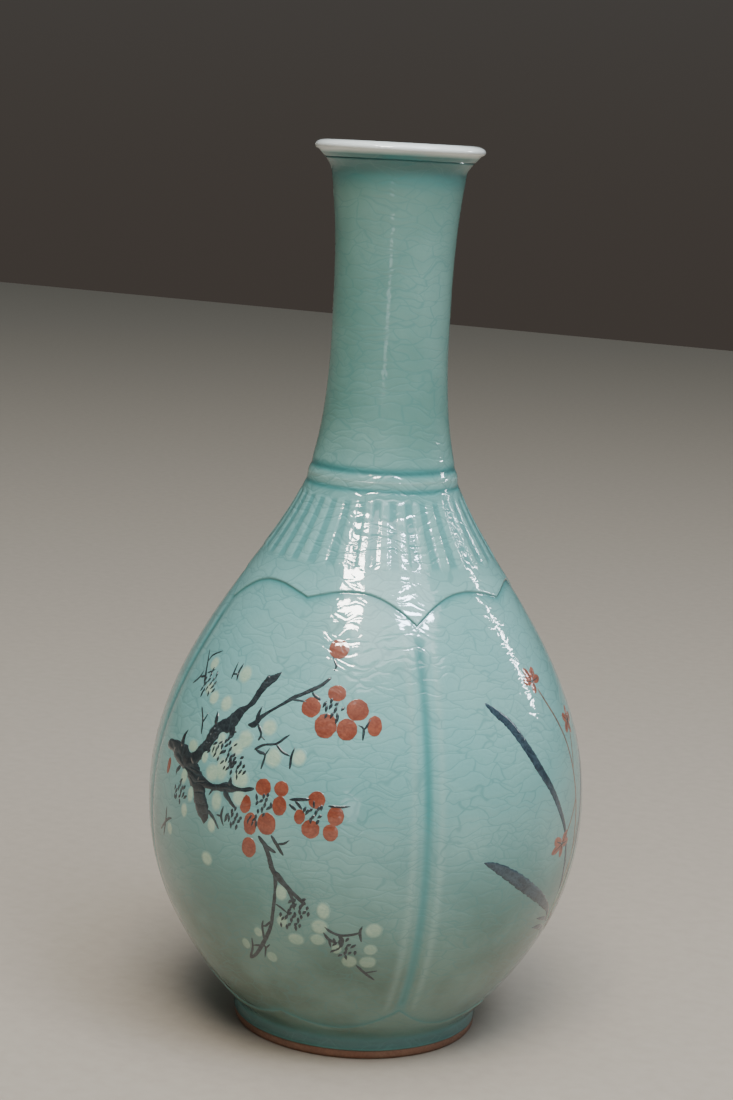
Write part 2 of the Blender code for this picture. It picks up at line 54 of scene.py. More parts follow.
# ---------------------------------------------------------------- sizes of the pot
TOTAL_HEIGHT = 310.0
FOOT_RADIUS = 43.2
FOOT_RING_WIDTH = 8.0
FOOT_RING_HEIGHT = 3.0
FOOT_BAND_HEIGHT = 8.0
BASE_RECESS = 4.0
BASE_THICKNESS = 6.5
BELLY_RADIUS = 76.6
BELLY_HEIGHT = 83.0
COLLAR_RADIUS = 25.9
COLLAR_HEIGHT = 197.4
WAIST_RADIUS = 20.2
WAIST_HEIGHT = 255.0
THROAT_RADIUS = 23.0
THROAT_HEIGHT = 299.5
LIP_RADIUS = 29.0
LIP_SEAM = 304.4
LIP_BEAD = 4.0
BODY_WALL = 5.5
NECK_WALL = 4.2
LOWER_FULLNESS = 2.15
SHOULDER_FALL = 1.46

# Carving: the rows of the body follow these two lines.
TOP_LINE_ROW = 161.0
LOW_LINE_ROW = 14.0
PANEL_COUNT = 4
RIB_COUNT = 34
RIB_LOW_END = 170.3
RIB_TOP_END = 191.4
LOW_COLLAR_GROOVE = 194.4
HIGH_COLLAR_GROOVE = 200.4
BODY_COLUMNS = RIB_COUNT * 16
NECK_COLUMNS = 272

# Lobed lines: a lobe is this many degrees to each side of the mid-panel cusp, then one falls to the groove.
LOBE_HALF_ANGLE = 20.0
GROOVE_ANGLE = 45.0
LOBE_FALL = 2.2
TOP_CUSP, TOP_RISE, TOP_CREST, TOP_DROP = 160.2, 3.1, 163.3, 9.3
LOW_CUSP, LOW_DIP, LOW_CREST, LOW_CLIMB = 16.8, 4.1, 12.7, 9.6
# Each lobed line's step: its depth, how far in it fades, and the share of glaze that gathers there.
TOP_STEP = (0.45, 2.6, 1.0)
LOW_STEP = (0.30, 2.0, 0.8)

# How far each kind of inlay stands over the wall, so that a later one covers an earlier one.
STROKE_LIFT = 0.045
PALE_LIFT = 0.075
COLOUR_LIFT = 0.10
STAMEN_LIFT = 0.13


# ---------------------------------------------------------------- small helpers
def smooth(low, high, value):
    """0 below low, 1 above high, and an even curve between."""
    share = min(max((value - low) / (high - low), 0.0), 1.0)
    return share * share * (3.0 - 2.0 * share)


def hump(distance, width):
    return math.exp(-((distance / width) ** 2))


def graded(stations):
    """Heights from the first station to the last; each station gives a height and the spacing there."""
    heights = [stations[0][0]]
    for (low, first), (high, last) in zip(stations, stations[1:]):
        while heights[-1] < high:
            share = (heights[-1] - low) / (high - low)
            step = first + (last - first) * share
            reaches = heights[-1] + 1.4 * step >= high
            heights.append(high if reaches else heights[-1] + step)
    return heights


def linear(hex_colour):
    """sRGB hex to the linear colour that shaders and lights take."""
    channels = [int(hex_colour[i : i + 2], 16) / 255 for i in (1, 3, 5)]
    return tuple(c / 12.92 if c <= 0.04045 else ((c + 0.055) / 1.055) ** 2.4 for c in channels) + (1.0,)


# ---------------------------------------------------------------- the thrown wall
def outer_radius(height):
    """Radius of the thrown outside at this height."""
    if height <= FOOT_BAND_HEIGHT:
        return FOOT_RADIUS
    if height <= BELLY_HEIGHT:
        rise = (height - FOOT_BAND_HEIGHT) / (BELLY_HEIGHT - FOOT_BAND_HEIGHT)
        return FOOT_RADIUS + (BELLY_RADIUS - FOOT_RADIUS) * (1 - (1 - rise) ** LOWER_FULLNESS)
    if height <= COLLAR_HEIGHT:
        rise = (height - BELLY_HEIGHT) / (COLLAR_HEIGHT - BELLY_HEIGHT)
        return COLLAR_RADIUS + (BELLY_RADIUS - COLLAR_RADIUS) * (1 - rise * rise) ** SHOULDER_FALL
    if height <= WAIST_HEIGHT:
        rise = (height - COLLAR_HEIGHT) / (WAIST_HEIGHT - COLLAR_HEIGHT)
        return WAIST_RADIUS + (COLLAR_RADIUS - WAIST_RADIUS) * (1 - rise) ** 3
    if height <= THROAT_HEIGHT:
        rise = (height - WAIST_HEIGHT) / (THROAT_HEIGHT - WAIST_HEIGHT)
        return WAIST_RADIUS + (THROAT_RADIUS - WAIST_RADIUS) * rise**2.3
    rise = (height - THROAT_HEIGHT) / (TOTAL_HEIGHT - THROAT_HEIGHT)
    return THROAT_RADIUS + (LIP_RADIUS - THROAT_RADIUS) * math.sin(rise * math.pi / 2) ** 2


def wall_slope(height):
    """Change of radius for each millimetre of height."""
    return outer_radius(height + 0.5) - outer_radius(height - 0.5)


def wall_normal(height):
    """Outward normal of the thrown wall, as its shares across and up."""
    slope = wall_slope(height)
    length = math.hypot(1.0, slope)
    return 1.0 / length, -slope / length


def inner_point(height, wall):
    across, up = wall_normal(height)
    return outer_radius(height) - wall * across, height - wall * up


# ---------------------------------------------------------------- the carving
def panel_side(angle):
    """Degrees from the middle of the nearest panel, 0 to 45."""
    return abs((angle + GROOVE_ANGLE) % (2 * GROOVE_ANGLE) - GROOVE_ANGLE)


def lobe_fall(side):
    """Share of the fall from the crest of the outer lobe to the cusp over a groove."""
    return ((side - LOBE_HALF_ANGLE) / (GROOVE_ANGLE - LOBE_HALF_ANGLE)) ** LOBE_FALL


def top_line(angle):
    """Height of the lobed line over the panels: a shallow cusp mid-panel and a deep one between panels."""
    side = panel_side(angle)
    if side < LOBE_HALF_ANGLE:
        return TOP_CUSP + TOP_RISE * math.sin(math.pi * side / (2 * LOBE_HALF_ANGLE))
    return TOP_CREST - TOP_DROP * lobe_fall(side)


def low_line(angle):
    """Height of the lobed line round the foot of the panels."""
    side = panel_side(angle)
    if side < LOBE_HALF_ANGLE:
        return LOW_CUSP - LOW_DIP * math.sin(math.pi * side / (2 * LOBE_HALF_ANGLE))
    return LOW_CREST + LOW_CLIMB * lobe_fall(side)


def panel_edges(angle, height):
    """The step inside each lobed line, and the glaze that gathers against it."""
    over_top = height - top_line(angle)
    under_low = low_line(angle) - height
    lift = pool = 0.0
    for beyond, (depth, reach, shade) in ((over_top, TOP_STEP), (under_low, LOW_STEP)):
        inside = 1.0 - smooth(-0.3, 0.3, beyond)
        inward = min(beyond, 0.0)
        lift += 0.16 * (1.0 - inside) * hump(beyond, 4.0) - depth * inside * math.exp(inward / reach)
        pool += shade * inside * (0.75 * math.exp(inward / 1.2) + 0.45 * math.exp(inward / 4.5))
    return lift, pool


def panel_groove(angle, height):
    """The broad groove that parts two panels, with a soft ridge along each side."""
    away = outer_radius(height) * math.radians(GROOVE_ANGLE - panel_side(angle))
    start = smooth(0.0, 5.0, height - low_line(angle))
    end = 1.0 - smooth(-9.0, -1.0, height - top_line(angle))
    run = start * end
    lift = run * (0.04 * hump(away - 4.2, 1.8) - 0.34 * hump(away, 2.0))
    pool = run * (0.85 * hump(away, 1.9) - 0.35 * hump(away - 4.6, 1.9))
    return lift, pool


def shoulder_ribs(angle, height):
    """Flat ribs left standing between hollows, from the collar down the shoulder."""
    rib = smooth(-0.6, 0.6, math.cos(math.radians(RIB_COUNT * angle)))
    low_end = smooth(RIB_LOW_END - 0.9, RIB_LOW_END + 0.9, height)
    run = low_end * (1 - smooth(RIB_TOP_END - 1.2, RIB_TOP_END, height))
    gather = smooth(162.5, 169.5, height) * (1 - smooth(192.0, 196.0, height))
    lift = run * (0.20 * rib - 0.06)
    pool = 0.45 * gather * (1 - 0.3 * (1 - run)) - 0.75 * run * rib + 0.20 * run
    return lift, pool


def collar_rings(height):
    """Two turned grooves and the soft band between them, where the neck joins the body."""
    lift = 0.06 * hump(height - COLLAR_HEIGHT, 2.2)
    lift -= 0.20 * hump(height - LOW_COLLAR_GROOVE, 1.0) + 0.26 * hump(height - HIGH_COLLAR_GROOVE, 1.4)
    pool = 0.9 * hump(height - LOW_COLLAR_GROOVE, 1.1) + 1.1 * hump(height - HIGH_COLLAR_GROOVE, 1.7)
    pool -= 0.4 * hump(height - COLLAR_HEIGHT, 2.0)
    return lift, pool


def foot_pool(height):
    """Glaze that ran down and gathered over the foot, thin again at its very edge."""
    pool = 1.15 * (1 - smooth(5.5, 10.5, height)) - 1.3 * (1 - smooth(FOOT_RING_HEIGHT, 4.0, height))
    lift = 0.25 * hump(height - 4.6, 1.6)
    return lift, pool


def throat_glaze_and_shade(height):
    """Glaze that gathered in the flare under the lip, made deeper there as painted shade under the lip."""
    return 0.0, 1.05 * smooth(290.0, 302.0, height)


def hand_wobble(angle, height):
    """Slow unevenness of a hand-trimmed wall and of the glaze on it."""
    turn = math.radians(angle)
    radius = outer_radius(height)
    place = Vector((radius * math.sin(turn), -radius * math.cos(turn), height))
    return 0.10 * noise.noise(place / 26.0) + 0.022 * noise.noise(place / 7.0)


def carving(angle, height):
    """How far the glazed surface stands out from the thrown wall, and how thick the glaze lies there, with
    painted shade added under the lip.
    """
    parts = (
        panel_edges(angle, height),
        panel_groove(angle, height),
        shoulder_ribs(angle, height),
        collar_rings(height),
        foot_pool(height),
        throat_glaze_and_shade(height),
    )
    lift = sum(part[0] for part in parts) + hand_wobble(angle, height)
    pool = sum(part[1] for part in parts)
    return lift, min(max(pool, -1.0), 1.3)


def wall_point(angle, height, lift=0.0, carved=None):
    """World point this far over the carved and glazed surface."""
    across, up = wall_normal(height)
    out = lift + (carving(angle, height)[0] if carved is None else carved)
    radius = outer_radius(height) + out * across
    turn = math.radians(angle)
    return Vector((radius * math.sin(turn), -radius * math.cos(turn), height + out * up)) * MM


# ---------------------------------------------------------------- materials
def new_material(name):
    material = bpy.data.materials.new(name)
    material.use_nodes = True
    material.node_tree.nodes.clear()
    return material, material.node_tree


def add_node(tree, kind, settings=None, sockets=None):
    """Adds a node. Sockets are given by name or number, or as a list in the node's own order.

    A socket's value is a number or colour, or the output that feeds it."""
    node = tree.nodes.new("ShaderNode" + kind)
    for key, value in (settings or {}).items():
        setattr(node, key, value)
    for key, value in sockets.items() if isinstance(sockets, dict) else enumerate(sockets or ()):
        if isinstance(value, bpy.types.NodeSocket):
            tree.links.new(value, node.inputs[key])
        else:
            node.inputs[key].default_value = value
    return node


# Settings that many nodes share. A Mix takes its share at 0 and its colours at 6 and 7, and gives them at 2.
# A Map Range takes the value, the range it has and the range it gets, and holds it at both ends.
COLOURS = {"data_type": "RGBA", "blend_type": "MIX", "clamp_factor": True}
EVENLY = {"interpolation_type": "SMOOTHSTEP"}
TIMES = {"operation": "MULTIPLY"}
PLUS = {"operation": "ADD"}
LESS = {"operation": "SUBTRACT"}
GREATER = {"operation": "MAXIMUM"}

# Crazing, in mm: size of a cell, width of its crack, and how many times wider than tall the cell is.
LONG_CRACKS = (11.0, 0.30, 3.2)
FINE_CRACKS = (5.5, 0.15, 2.4)
CRACK_SWAY = 14 * MM
SWAY_REACH = 0.011
FINE_PATCH = 22 * MM
# The glaze over the ribs is more uneven between these heights, in metres.
RUFFLE_START = (0.167, 0.174)
RUFFLE_END = (0.198, 0.206)


def crackle(tree):
    """Crazing of a glaze that shrank more than its clay: long level cracks crossed by short ones.

    Returns the place, how much each point lies on a crack, and the height of the glaze for bump."""
    place = add_node(tree, "TexCoord").outputs["Object"]
    sway = add_node(tree, "TexNoise", sockets={"Vector": place, "Scale": 1 / CRACK_SWAY, "Detail": 2.0})
    off = add_node(
        tree, "VectorMath", {"operation": "MULTIPLY_ADD"},
        [sway.outputs["Color"], (SWAY_REACH, SWAY_REACH, SWAY_REACH), place],
    )
    lines = []
    heights = []
    for cell, width, flat in (LONG_CRACKS, FINE_CRACKS):
        squashed = add_node(
            tree, "Mapping", sockets={"Vector": off.outputs[0], "Scale": (1.0, 1.0, flat)}
        )
        cells = add_node(
            tree, "TexVoronoi", {"feature": "DISTANCE_TO_EDGE"},
            {"Vector": squashed.outputs[0], "Scale": 1 / (cell * MM)},
        )
        away = cells.outputs["Distance"]
        line = add_node(tree, "MapRange", EVENLY, [away, 0.0, 2 * width / cell, 1.0, 0.0])
        lines.append(line.outputs[0])
        heights.append(add_node(tree, "MapRange", EVENLY, [away, 0.0, 0.22]).outputs[0])
    patches = add_node(tree, "TexNoise", sockets={"Vector": place, "Scale": 1 / FINE_PATCH})
    share = add_node(tree, "MapRange", EVENLY, [patches.outputs["Fac"], 0.42, 0.62, 0.10, 0.75])
    fine = add_node(tree, "Math", TIMES, [lines[1], share.outputs[0]])
    crack = add_node(tree, "Math", GREATER, [lines[0], fine.outputs[0]]).outputs[0]
    shallow = add_node(tree, "MapRange", EVENLY, [heights[1], 0.0, 1.0, 0.7, 1.0])
    relief = add_node(tree, "Math", TIMES, [heights[0], shallow.outputs[0]])
    height = add_node(tree, "SeparateXYZ", sockets=[place]).outputs["Z"]
    start = add_node(tree, "MapRange", EVENLY, [height, *RUFFLE_START])
    end = add_node(tree, "MapRange", EVENLY, [height, *RUFFLE_END])
    ruffled = add_node(tree, "Math", LESS, [start.outputs[0], end.outputs[0]])
    more = add_node(tree, "Math", PLUS, [ruffled.outputs[0], 1.0])
    relief = add_node(tree, "Math", TIMES, [relief.outputs[0], more.outputs[0]])
    return place, crack, relief.outputs[0]


def celadon_colour(tree, place, pool):
    """Colour of the glaze from its thickness, grey-green where thin and blue-green in the hollows, with
    painted shade low on the body and over the neck.
    """
    clouds = add_node(tree, "TexNoise", sockets={"Vector": place, "Scale": 1 / (30 * MM), "Detail": 4.0})
    grain = add_node(tree, "TexNoise", sockets={"Vector": place, "Scale": 1 / (1.1 * MM), "Detail": 3.0})
    height = add_node(tree, "SeparateXYZ", sockets=[place]).outputs["Z"]
    tone = linear("#7CB3AF")
    for source, low, high, start, end, shade in (
        # painted shade and reflection: the glaze turns darker and olive towards the bottom, for the dim light
        # and the reflected table there
        (height, 0.024, 0.124, 1.0, 0.0, "#4C6655"),
        # painted shade: the collar and neck are made darker, where less light falls on them
        (height, 0.185, 0.215, 0.0, 0.85, "#628C80"),
        (clouds.outputs["Fac"], 0.35, 0.68, 0.0, 0.35, "#93BEB4"),
        (grain.outputs["Fac"], 0.40, 0.75, 0.0, 0.12, "#5F9491"),
        (pool, 0.0, -1.0, 0.0, 1.0, "#A6C3B8"),
        (pool, 0.0, 1.0, 0.0, 0.9, "#468A88"),
        (pool, 0.75, 1.3, 0.0, 0.8, "#2A5856"),
    ):
        share = add_node(tree, "MapRange", EVENLY, [source, low, high, start, end])
        tone = add_node(tree, "Mix", COLOURS, {0: share.outputs[0], 6: tone, 7: linear(shade)}).outputs[2]
    return tone


def glaze_coat(tree, colour, relief, depth=0.09, roughness=0.42):
    """Clear glossy glass over the colour: a sharp reflection that the crackle breaks up."""
    bump = add_node(
        tree, "Bump", sockets={"Height": relief, "Strength": 0.55, "Distance": depth * MM}
    )
    shader = add_node(
        tree, "BsdfPrincipled",
        sockets={
            "Base Color": colour,
            "Roughness": roughness,
            "IOR": 1.5,
            "Specular IOR Level": 0.15,
            "Coat Weight": 1.0,
            "Coat Roughness": 0.035,
            "Coat IOR": 1.62,
            "Normal": bump.outputs[0],
            "Coat Normal": bump.outputs[0],
        },
    )
    add_node(tree, "OutputMaterial", sockets={"Surface": shader.outputs[0]})


def crackled_celadon_glaze():
    """Feldspar glaze coloured by a little iron, fired in reduction: glassy, blue-green, crazed all over."""
    material, tree = new_material("crackled_celadon_glaze")
    place, crack, relief = crackle(tree)
    pool = add_node(tree, "Attribute", {"attribute_name": "pool"}).outputs["Fac"]
    colour = celadon_colour(tree, place, pool)
    share = add_node(tree, "Math", TIMES, [crack, 0.42])
    cracked = add_node(tree, "Mix", COLOURS, {0: share.outputs[0], 6: colour, 7: linear("#4F8582")})
    glaze_coat(tree, cracked.outputs[2], relief)
    return material


def white_lip_glaze():
    """Thin white glaze wiped round the lip, which turns to celadon where it meets the neck."""
    material, tree = new_material("white_lip_glaze")
    place, crack, relief = crackle(tree)
    white = add_node(tree, "Attribute", {"attribute_name": "white"}).outputs["Fac"]
    pool = add_node(tree, "Attribute", {"attribute_name": "pool"}).outputs["Fac"]
    green = celadon_colour(tree, place, pool)
    share = add_node(tree, "Math", TIMES, [crack, 0.35])
    under = add_node(tree, "Mix", COLOURS, {0: share.outputs[0], 6: green, 7: linear("#5F8E8B")})
    colour = add_node(tree, "Mix", COLOURS, {0: white, 6: under.outputs[2], 7: linear("#E9EEEA")})
    glaze_coat(tree, colour.outputs[2], relief, depth=0.02, roughness=0.35)
    return material


def bare_stoneware_clay():
    """Unglazed fired clay on the foot: red-brown, matt and gritty from trimming."""
    material, tree = new_material("bare_stoneware_clay")
    place = add_node(tree, "TexCoord").outputs["Object"]
    grit = add_node(tree, "TexNoise", sockets={"Vector": place, "Scale": 1 / (0.9 * MM), "Detail": 5.0})
    scorch = add_node(tree, "TexNoise", sockets={"Vector": place, "Scale": 1 / (18 * MM), "Detail": 2.0})
    grains = grit.outputs["Fac"]
    tone = add_node(tree, "Mix", COLOURS, {0: grains, 6: linear("#6B4A3C"), 7: linear("#A07860")})
    share = add_node(tree, "MapRange", EVENLY, [scorch.outputs["Fac"], 0.4, 0.7, 0.0, 0.5])
    tone = add_node(
        tree, "Mix", COLOURS, {0: share.outputs[0], 6: tone.outputs[2], 7: linear("#7C4A36")}
    )
    bump = add_node(tree, "Bump", sockets={"Height": grains, "Strength": 0.6, "Distance": 0.15 * MM})
    shader = add_node(
        tree, "BsdfPrincipled",
        sockets={"Base Color": tone.outputs[2], "Roughness": 0.85, "Normal": bump.outputs[0]},
    )
    add_node(tree, "OutputMaterial", sockets={"Surface": shader.outputs[0]})
    return material


SUNK_HEIGHTS = (0.036, 0.084)


def slip_under_glaze(name, dark, light, veil, crack_hex, crack_share, sunk=0.0):
    """Coloured slip pressed into the clay under the same crackled glaze.

    The grain of the slip mottles it, and it thins to bare glaze at the edge by the given veil. Sunk is how
    far the thick glaze low on the pot hides it."""
    material, tree = new_material(name)
    place, crack, relief = crackle(tree)
    grain = add_node(tree, "TexNoise", sockets={"Vector": place, "Scale": 1 / (0.8 * MM), "Detail": 4.0})
    patch = add_node(tree, "TexNoise", sockets={"Vector": place, "Scale": 1 / (4.5 * MM), "Detail": 2.0})
    grains = add_node(tree, "Math", TIMES, [grain.outputs["Fac"], 0.55])
    patches = add_node(tree, "Math", TIMES, [patch.outputs["Fac"], 0.45])
    mottle = add_node(tree, "Math", PLUS, [grains.outputs[0], patches.outputs[0]])
    paler = add_node(tree, "MapRange", EVENLY, [mottle.outputs[0], 0.36, 0.64])
    slip = add_node(tree, "Mix", COLOURS, {0: paler.outputs[0], 6: linear(dark), 7: linear(light)})
    edge = add_node(tree, "Attribute", {"attribute_name": "edge"}).outputs["Fac"]
    start, full, least = veil
    worn = add_node(tree, "MapRange", EVENLY, [edge, start, full, least, 1.0])
    height = add_node(tree, "SeparateXYZ", sockets=[place]).outputs["Z"]
    deep = add_node(tree, "MapRange", EVENLY, [height, *SUNK_HEIGHTS, sunk, 0.0])
    thin = add_node(tree, "Math", GREATER, [worn.outputs[0], deep.outputs[0]])
    glaze = celadon_colour(tree, place, 0.0)
    tone = add_node(tree, "Mix", COLOURS, {0: thin.outputs[0], 6: slip.outputs[2], 7: glaze})
    share = add_node(tree, "Math", TIMES, [crack, crack_share])
    tone = add_node(
        tree, "Mix", COLOURS, {0: share.outputs[0], 6: tone.outputs[2], 7: linear(crack_hex)}
    )
    glaze_coat(tree, tone.outputs[2], relief)
    return material


celadon = crackled_celadon_glaze()
lip_white = white_lip_glaze()
clay = bare_stoneware_clay()
# Slips: material, dark and light colour, veil, colour and share of the cracks, and how far it is sunk.
SLIP_LOOKS = {
    # Black iron slip: near black, grey-green where the glaze lies thick over it.
    "iron_slip": ("black_iron_slip", "#20262A", "#333C3E", (0.80, 1.15, 0.0), "#4A5A5C", 0.35),
    # Blue-black slip of the orchid and bamboo leaves.
    "blue_slip": ("blue_black_slip", "#22323C", "#374A55", (0.80, 1.15, 0.0), "#4C626A", 0.35),
    # Brown slip of thin stems: the glaze shows through it.
    "brown_slip": ("brown_slip", "#6E4B3C", "#8E6A55", (0.70, 1.10, 0.05), "#5A4A42", 0.4),
    # Copper slip that reduced to a soft brick red.
    "copper_slip": ("copper_red_slip", "#81402E", "#96533D", (0.90, 1.06, 0.0), "#6A3A2C", 0.35),
    # White slip, seen as a pale green-white cloud with a soft edge.
    "white_slip": ("white_slip", "#A4C2A5", "#BBD1B3", (0.50, 1.0, 0.08), "#86AC9E", 0.30, 0.55),
    # Red-brown slip of the orchid petals.
    "petal_slip": ("red_brown_slip", "#8E4A38", "#A9644C", (0.80, 1.06, 0.0), "#6E4438", 0.45),
}
SLIPS = {key: slip_under_glaze(*look) for key, look in SLIP_LOOKS.items()}


# ---------------------------------------------------------------- pieces
def finish_piece(name, bm, material, replaced):
    mesh = bpy.data.meshes.new(name)
    bm.to_mesh(mesh)
    bm.free()
    mesh.polygons.foreach_set("use_smooth", [True] * len(mesh.polygons))
    mesh.materials.append(material)
    piece = bpy.data.objects.new(name, mesh)
    bpy.context.scene.collection.objects.link(piece)
    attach(piece, "root")
    if replaced:
        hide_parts(*replaced)
    return piece


def turned(profile, columns, closed):
    """Spins a profile of (radius, height) once round the axis."""
    bm = bmesh.new()
    points = [bm.verts.new((radius * MM, 0.0, height * MM)) for radius, height in profile]
    pairs = list(zip(points, points[1:]))
    if closed:
        pairs.append((points[-1], points[0]))
    edges = [bm.edges.new(pair) for pair in pairs]
    bmesh.ops.spin(
        bm, geom=points + edges, cent=(0, 0, 0), axis=(0, 0, 1), dvec=(0, 0, 0),
        angle=2 * math.pi, steps=columns, use_merge=True, use_duplicate=False,
    )
    bmesh.ops.remove_doubles(bm, verts=bm.verts, dist=1e-6)
    bmesh.ops.recalc_face_normals(bm, faces=bm.faces)
    return bm


def follow_lines(angle, row):
    """Height of a row of the body once the rows near the lobed lines follow them."""
    near_top = smooth(95.0, 150.0, row) * (1 - smooth(164.5, 172.5, row))
    near_low = smooth(9.0, 12.0, row) * (1 - smooth(20.0, 60.0, row))
    return row + near_top * (top_line(angle) - TOP_LINE_ROW) + near_low * (low_line(angle) - LOW_LINE_ROW)


def gather_columns(angle, row):
    """Angle of a column once the columns crowd round the grooves between the panels."""
    crowd = 0.55 * smooth(12.0, 24.0, row) * (1 - smooth(150.0, 166.0, row))
    turn = math.radians(PANEL_COUNT * (angle - GROOVE_ANGLE))
    return angle - math.degrees(crowd / PANEL_COUNT) * math.sin(turn)


OUTSIDE_SKIN = 1.5


def carve(bm, moves_lines=True):
    """Moves the outside of a turned shell to the carved surface and notes how thick the glaze lies."""
    pool = bm.verts.layers.float.new("pool")
    for vert in bm.verts:
        radius = math.hypot(vert.co.x, vert.co.y) / MM
        row = vert.co.z / MM
        tuck = radius - outer_radius(row)
        if tuck < -OUTSIDE_SKIN:
            continue
        angle = math.degrees(math.atan2(vert.co.x, -vert.co.y))
        height = row
        if moves_lines:
            angle = gather_columns(angle, row)
            height = follow_lines(angle, row)
        carved, vert[pool] = carving(angle, height)
        vert.co = wall_point(angle, height, tuck, carved)


def make_body():
    rows = graded([
        (3.6, 0.5), (5.0, 0.9), (9.0, 0.9), (12.6, 0.6), (14.0, 0.2), (16.0, 0.8), (24.0, 2.1), (60.0, 2.3),
        (148.0, 2.3), (156.0, 1.4), (160.2, 0.35), (161.0, 0.2), (162.0, 0.4), (167.0, 1.2), (169.0, 0.6),
        (171.6, 0.6), (174.0, 1.8), (188.0, 1.8), (190.0, 0.6), (194.4, 0.5), (197.2, 0.5), (197.4, 0.1),
    ])
    floor = FOOT_RING_HEIGHT + BASE_RECESS + BASE_THICKNESS
    seat = FOOT_RADIUS - FOOT_RING_WIDTH
    base = FOOT_RING_HEIGHT + BASE_RECESS
    underside = [(0.0, base), (seat - 5.5, base), (seat - 2.0, base - 1.6), (seat, FOOT_RING_HEIGHT + 0.1)]
    edge = [(FOOT_RADIUS - 0.55, FOOT_RING_HEIGHT + 0.1), (FOOT_RADIUS - 0.15, 3.2)]
    outside = [(outer_radius(row), row) for row in rows]
    inner_rows = graded([(22.0, 6.0), (83.0, 9.0), (180.0, 9.0), (195.0, 4.0)])
    inside = [inner_point(row, BODY_WALL) for row in inner_rows]
    corner = [(inside[0][0] - 1.5, floor + 3.0), (inside[0][0] - 6.0, floor), (0.0, floor)]
    lip = [(outer_radius(COLLAR_HEIGHT) - NECK_WALL, COLLAR_HEIGHT)]
    bm = turned(underside + edge + outside + lip + inside[::-1] + corner, BODY_COLUMNS, closed=False)
    carve(bm)
    return finish_piece("glazed_body", bm, celadon, ["body"])


def make_neck():
    rows = graded([
        (197.4, 0.1), (197.6, 0.5), (203.0, 0.5), (206.0, 1.6), (294.0, 2.4), (300.0, 1.0), (LIP_SEAM, 0.6)
    ])
    outside = [(outer_radius(row), row) for row in rows]
    inside = [inner_point(row, NECK_WALL) for row in graded([(204.0, 6.0), (290.0, 7.0), (300.0, 2.0)])]
    top = [(outer_radius(LIP_SEAM) - NECK_WALL, LIP_SEAM)]
    low = [(outer_radius(COLLAR_HEIGHT) - NECK_WALL, COLLAR_HEIGHT)]
    bm = turned(outside + top + inside[::-1] + low, NECK_COLUMNS, closed=True)
    carve(bm, moves_lines=False)
    return finish_piece("glazed_neck", bm, celadon, ["neck"])


BEAD_STEPS, BEAD_START, BEAD_TURN = 24, -50, 230
BEAD_RISE, BEAD_SAG = 2.1, 1.7


def make_lip():
    """The rolled lip: a bead over the flare of the throat."""
    middle = LIP_RADIUS - LIP_BEAD
    bead = []
    for step in range(BEAD_STEPS + 1):
        turn = math.radians(BEAD_START + step * BEAD_TURN / BEAD_STEPS)
        height = TOTAL_HEIGHT - BEAD_RISE + (BEAD_RISE if turn > 0 else BEAD_SAG) * math.sin(turn)
        bead.append((middle + LIP_BEAD * math.cos(turn), height))
    under = [(outer_radius(row), row) for row in graded([(LIP_SEAM, 0.3), (305.6, 0.5)])]
    back = [(outer_radius(LIP_SEAM) - NECK_WALL, LIP_SEAM)]
    bm = turned(under + bead + back, NECK_COLUMNS, closed=True)
    white = bm.verts.layers.float.new("white")
    pool = bm.verts.layers.float.new("pool")
    for vert in bm.verts:
        height = vert.co.z / MM
        wander = 0.12 * noise.noise(vert.co / (9 * MM))
        vert[white] = smooth(306.1, 306.9, height + wander)
        # painted shade: the glaze under the bead is made deep and dark, for the shadow under the lip
        vert[pool] = 1.0 - smooth(305.8, 306.8, height)
        out = Vector((vert.co.x, vert.co.y, 0.0))
        if out.length / MM > LIP_RADIUS - 2 * LIP_BEAD:
            angle = math.degrees(math.atan2(vert.co.x, -vert.co.y))
            fade = 1.0 - smooth(LIP_SEAM, 306.6, height)
            vert.co += out.normalized() * (fade * MM * hand_wobble(angle, LIP_SEAM))
    return finish_piece("white_lip", bm, lip_white, ["mouth_rim"])


def make_foot():
    """The bare foot ring, with trimmed corners."""
    inner = FOOT_RADIUS - FOOT_RING_WIDTH
    side = ((0.25, 0.9), (0.12, 1.6), (0.15, 2.4), (0.2, 3.3))
    outside = [(FOOT_RADIUS - inset, height) for inset, height in side]
    sole = [(inner + 0.9, 0.0), (FOOT_RADIUS - 1.3, 0.0), (FOOT_RADIUS - 0.65, 0.25)]
    back = [(inner - 0.2, 3.3), (inner, 2.4), (inner, 0.9), (inner + 0.3, 0.3)]
    bm = turned(back + sole + outside, NECK_COLUMNS, closed=True)
    for vert in bm.verts:
        if 0.05 < vert.co.z / MM < 3.0:
            out = Vector((vert.co.x, vert.co.y, 0.0)).normalized()
            vert.co += out * (0.08 * MM * noise.noise(vert.co / (3 * MM)))
    return finish_piece("bare_foot_ring", bm, clay, ["foot_ring"])


# ---------------------------------------------------------------- inlays
STROKE_FACETS = 4
STROKE_SPACING = 0.8
GOLDEN_TURN = math.radians(137.5)
DOT_SPREAD = 1.16
DOT_SINK = 0.012
EDGE_SINK = 0.02
SLIP_THICKNESS = 0.25
STROKE_SPREAD = 1.25  # the domed edges lie under the glaze, so a stroke is made this much wider


def smooth_route(route):
    """Given points (angle, height, half width) joined by an even curve, about STROKE_SPACING apart."""
    stops = [Vector(point) for point in route]
    before = stops[0] * 2 - stops[1]
    after = stops[-1] * 2 - stops[-2]
    chain = [before, *stops, after]
    line = []
    for first, second, third, fourth in zip(chain, chain[1:], chain[2:], chain[3:]):
        reach = outer_radius(second.y) * math.radians(third.x - second.x)
        count = max(2, round(math.hypot(reach, third.y - second.y) / STROKE_SPACING))
        for step in range(count):
            t = step / count
            line.append(
                0.5 * (2 * second + (third - first) * t
                       + (2 * first - 5 * second + 4 * third - fourth) * t * t
                       + (3 * second - first - 3 * third + fourth) * t**3)
            )
    line.append(stops[-1])
    return line


